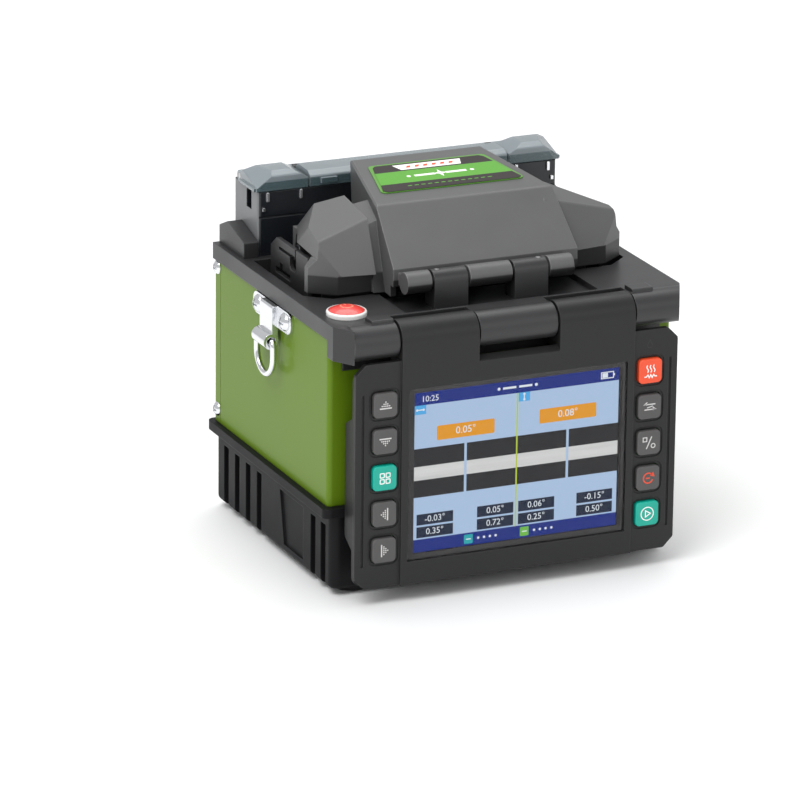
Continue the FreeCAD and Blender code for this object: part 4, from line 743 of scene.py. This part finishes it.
def reset_mark(marks, ink):
    """Open ring that ends in an arrowhead, round a short bar."""
    marks.stroke(arc(0, 0, 1.65, 40, 340, 30), 0.42, ink)
    marks.polygon([(0.55, 0.75), (2.25, 0.35), (1.75, 1.95)], ink)
    marks.stroke([(-0.75, 0.0), (0.6, 0.0)], 0.42, ink)


def start_mark(marks, ink):
    """Triangle in a ring."""
    marks.stroke(arc(0, 0, 2.15, 0, 352.5, 47), 0.34, ink, closed=True)
    marks.stroke([(-0.62, -1.05), (1.15, 0.0), (-0.62, 1.05)], 0.34, ink, closed=True)


def key_marks():
    pale = printed("key_ink_pale", srgb(205, 204, 202))
    white = printed("key_ink_white", srgb(244, 244, 242))
    orange = printed("key_ink_orange", srgb(228, 74, 42))
    drawings = {"menu": (menu_mark, white), "heat": (heat_mark, white), "swap": (swap_mark, pale),
                "view": (view_mark, pale), "reset": (reset_mark, orange), "start": (start_mark, white)}
    turns = {"up": 0, "down": 2, "back": 1, "forward": 3}
    for key in list(turns) + list(drawings):
        low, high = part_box("key_" + key)
        face = Vector(((low.x + high.x) / 2, low.y, (low.z + high.z) / 2))
        marks = Marks("mark_" + key, face, (1, 0, 0), (0, 0, 1))
        if key in turns:
            dotted_arrow(marks, pale, turns[key])
        else:
            draw, ink = drawings[key]
            draw(marks, ink)
        marks.piece("key_" + key, frame_slot("key_" + key))


def frame_slot(node):
    """The record's material slot of a node."""
    return next(part["material_slot"] for part in frame["record"]["subparts"] if part["node"] == node)


def drop_mark():
    """Small drop pressed into the monitor's ear above the heater key."""
    low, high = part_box("key_heat")
    origin = Vector(((low.x + high.x) / 2, low.y + 1.0 * MM, high.z + 4.6 * MM))
    marks = Marks("heater_drop", origin, (1, 0, 0), (0, 0, 1))
    outline = arc(0, -0.35, 0.85, -220, 40, 18) + [(0.0, 1.45)]
    marks.stroke(outline, 0.22, printed("drop_ink", (0.012, 0.012, 0.012)), closed=True)
    marks.piece("monitor", "bezel_plastic")


# ---------------------------------------------------------------- deck and hood marks

def power_mark():
    """Standard power sign on the domed button."""
    low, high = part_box("power_button")
    radius = (high.x - low.x) / 2 / MM
    sphere = (radius ** 2 + DOME_RISE ** 2) / (2 * DOME_RISE)
    top = Vector(((low.x + high.x) / 2, (low.y + high.y) / 2, high.z))
    marks = Marks("power_mark", top, (1, 0, 0), (0, 1, 0),
                  lambda u, v: math.sqrt(sphere ** 2 - u * u - v * v) - sphere)
    ink = printed("power_ink", srgb(255, 150, 120))
    marks.stroke(arc(0, 0, 1.9, 125, 415, 40), POWER_LINE, ink)
    marks.stroke([(0, 0.5), (0, 1.2), (0, 1.8), (0, 2.5)], POWER_LINE, ink)
    marks.piece("power_button", "power_red")


def label_marks():
    """Dark panel, green band, blank badge and a splice sign on the hood's label."""
    low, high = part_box("hood_label")
    length = (high.y - low.y) / math.cos(LABEL_SLOPE) / MM
    half = (high.x - low.x) / 2 / MM
    back_top = Vector((0, high.y - 0.4 * MM, high.z))
    up = Vector((0, math.cos(LABEL_SLOPE), math.sin(LABEL_SLOPE)))
    origin = back_top - up * length * MM
    marks = Marks("label_marks", origin, (1, 0, 0), up)

    def edge(v):
        return half - LABEL_TAPER * v / length - LABEL_BORDER

    def strip(start, end, material, cut_front=0.0, cut_back=0.0):
        """Band across the label, with its front or back corners cut off."""
        v0, v1 = start * length, end * length
        right = [(edge(v0) - cut_front, v0), (edge(v0), v0 + cut_front),
                 (edge(v1), v1 - cut_back), (edge(v1) - cut_back, v1)]
        outline = right + [(-u, v) for u, v in reversed(right)]
        marks.polygon([point for n, point in enumerate(outline) if point != outline[n - 1]], material)

    dark = printed("label_dark", srgb(30, 17, 17), 0.55)
    green = printed("label_green", srgb(84, 156, 42), 0.5)
    white = printed("label_white", srgb(246, 246, 240))
    red = printed("label_red", srgb(226, 78, 40))
    front, green_start, green_end, back = LABEL_STEPS
    strip(front, green_start, dark, cut_front=LABEL_CUT)
    strip(green_start, green_end, green)
    strip(green_end, back, dark, cut_back=LABEL_CUT)
    width = edge(0) + LABEL_BORDER
    v0, v1 = 0.745 * length, 0.93 * length
    badge = ((-0.45, v0), (0.395, v0), (0.45, v1), (-0.51, v1))
    marks.polygon([(share * width, v) for share, v in badge], white, 1)
    for n in range(6):
        u = (-0.36 + n * 0.12) * width
        marks.polygon([(u, v0 + 1.3), (u + 1.4, v0 + 1.3), (u + 2.2, v1 - 1.3), (u + 0.8, v1 - 1.3)], red, 2)
    v = 0.495 * length
    for side in (-1, 1):
        marks.stroke([(side * 1.9, v), (side * 9.0, v)], 1.4, white, 1)
        marks.dot(side * 11.0, v, 0.7, white, 1)
    spark = []
    for n in range(8):
        reach = 3.0 if n % 2 == 0 else 0.9
        spark.append((reach * math.cos(n * math.pi / 4), v + reach * math.sin(n * math.pi / 4)))
    marks.polygon(spark, white, 2)
    for n in range(13):
        u = (n - 6) * 2.3
        marks.box(u - 0.7, 0.15 * length, u + 0.7, 0.15 * length + 0.5, green, 1)
    marks.piece("hood", "label_film")


# ---------------------------------------------------------------- studio

def studio():
    mesh = bpy.data.meshes.new("studio_floor")
    corners = [(x * FLOOR_HALF, y * FLOOR_HALF, 0) for x, y in ((-1, -1), (1, -1), (1, 1), (-1, 1))]
    mesh.from_pydata(corners, [], [(0, 1, 2, 3)])
    mesh.materials.append(floor_material())
    added("studio_floor", mesh)
    world = bpy.data.worlds.new("studio_world")
    world.use_nodes = True
    background = world.node_tree.nodes["Background"]
    background.inputs["Color"].default_value = (0.98, 0.99, 1.0, 1.0)
    background.inputs["Strength"].default_value = WORLD_STRENGTH
    bpy.context.scene.world = world
    bpy.context.scene.view_settings.view_transform = "Standard"
    for name, place, size, watts in SOFT_LIGHTS:
        softbox(name, Vector(place), size, watts)


def softbox(name, place, size, watts):
    """Square area light that faces the middle of the splicer."""
    light = bpy.data.lights.new(name, "AREA")
    light.shape = "SQUARE"
    light.size = size
    light.energy = watts
    aim = LIGHTS_AIM - place
    turn = aim.to_track_quat("-Z", "Y").to_matrix().to_4x4()
    added(name, light).matrix_world = Matrix.Translation(place) @ turn


def camera():
    azimuth, elevation = math.radians(CAMERA_AZIMUTH), math.radians(CAMERA_ELEVATION)
    back = Vector((math.sin(azimuth) * math.cos(elevation), -math.cos(azimuth) * math.cos(elevation),
                   math.sin(elevation)))
    right = Vector((math.cos(azimuth), math.sin(azimuth), 0))
    turn = Matrix([right, back.cross(right), back]).transposed().to_4x4()
    lens = bpy.data.cameras.new("camera")
    lens.lens = LENS_MM
    lens.sensor_width = SENSOR_MM
    roll = Matrix.Rotation(math.radians(CAMERA_ROLL), 4, "Z")
    holder = added("camera", lens)
    holder.matrix_world = Matrix.Translation(CAMERA_PLACE) @ turn @ roll
    bpy.context.scene.camera = holder


def heater_catches(materials):
    """Small bright catches on the heater's front, just under the end lids."""
    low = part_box("heater_base")[0]
    chrome = materials["chromed_steel"]
    catches = Marks("heater_catches", Vector((0, low.y, 0)), (1, 0, 0), (0, 0, 1))
    for side in (-1, 1):
        for u, v0, v1 in HEATER_CATCHES:
            outline = rounded(side * u - CATCH_HALF_WIDTH, v0, side * u + CATCH_HALF_WIDTH, v1, 0.3)
            catches.polygon(outline, chrome, 0, CATCH_LAYERS)
    catches.piece("chassis", "chromed_steel")


def dress_nodes(materials):
    special = {"heater_base": heater_body("heater_body", (0.010, 0.012, 0.015), (0.16, 0.165, 0.17))}
    for part in frame["record"]["subparts"]:
        data = frame["nodes"][part["node"]].data
        data.materials.clear()
        data.materials.append(special.get(part["node"]) or materials[part["material_slot"]])


MATERIALS = slot_materials()
dress_nodes(MATERIALS)
cover_glass(MATERIALS)
screen_picture()
key_marks()
drop_mark()
power_mark()
label_marks()
heater_catches(MATERIALS)
studio()
camera()
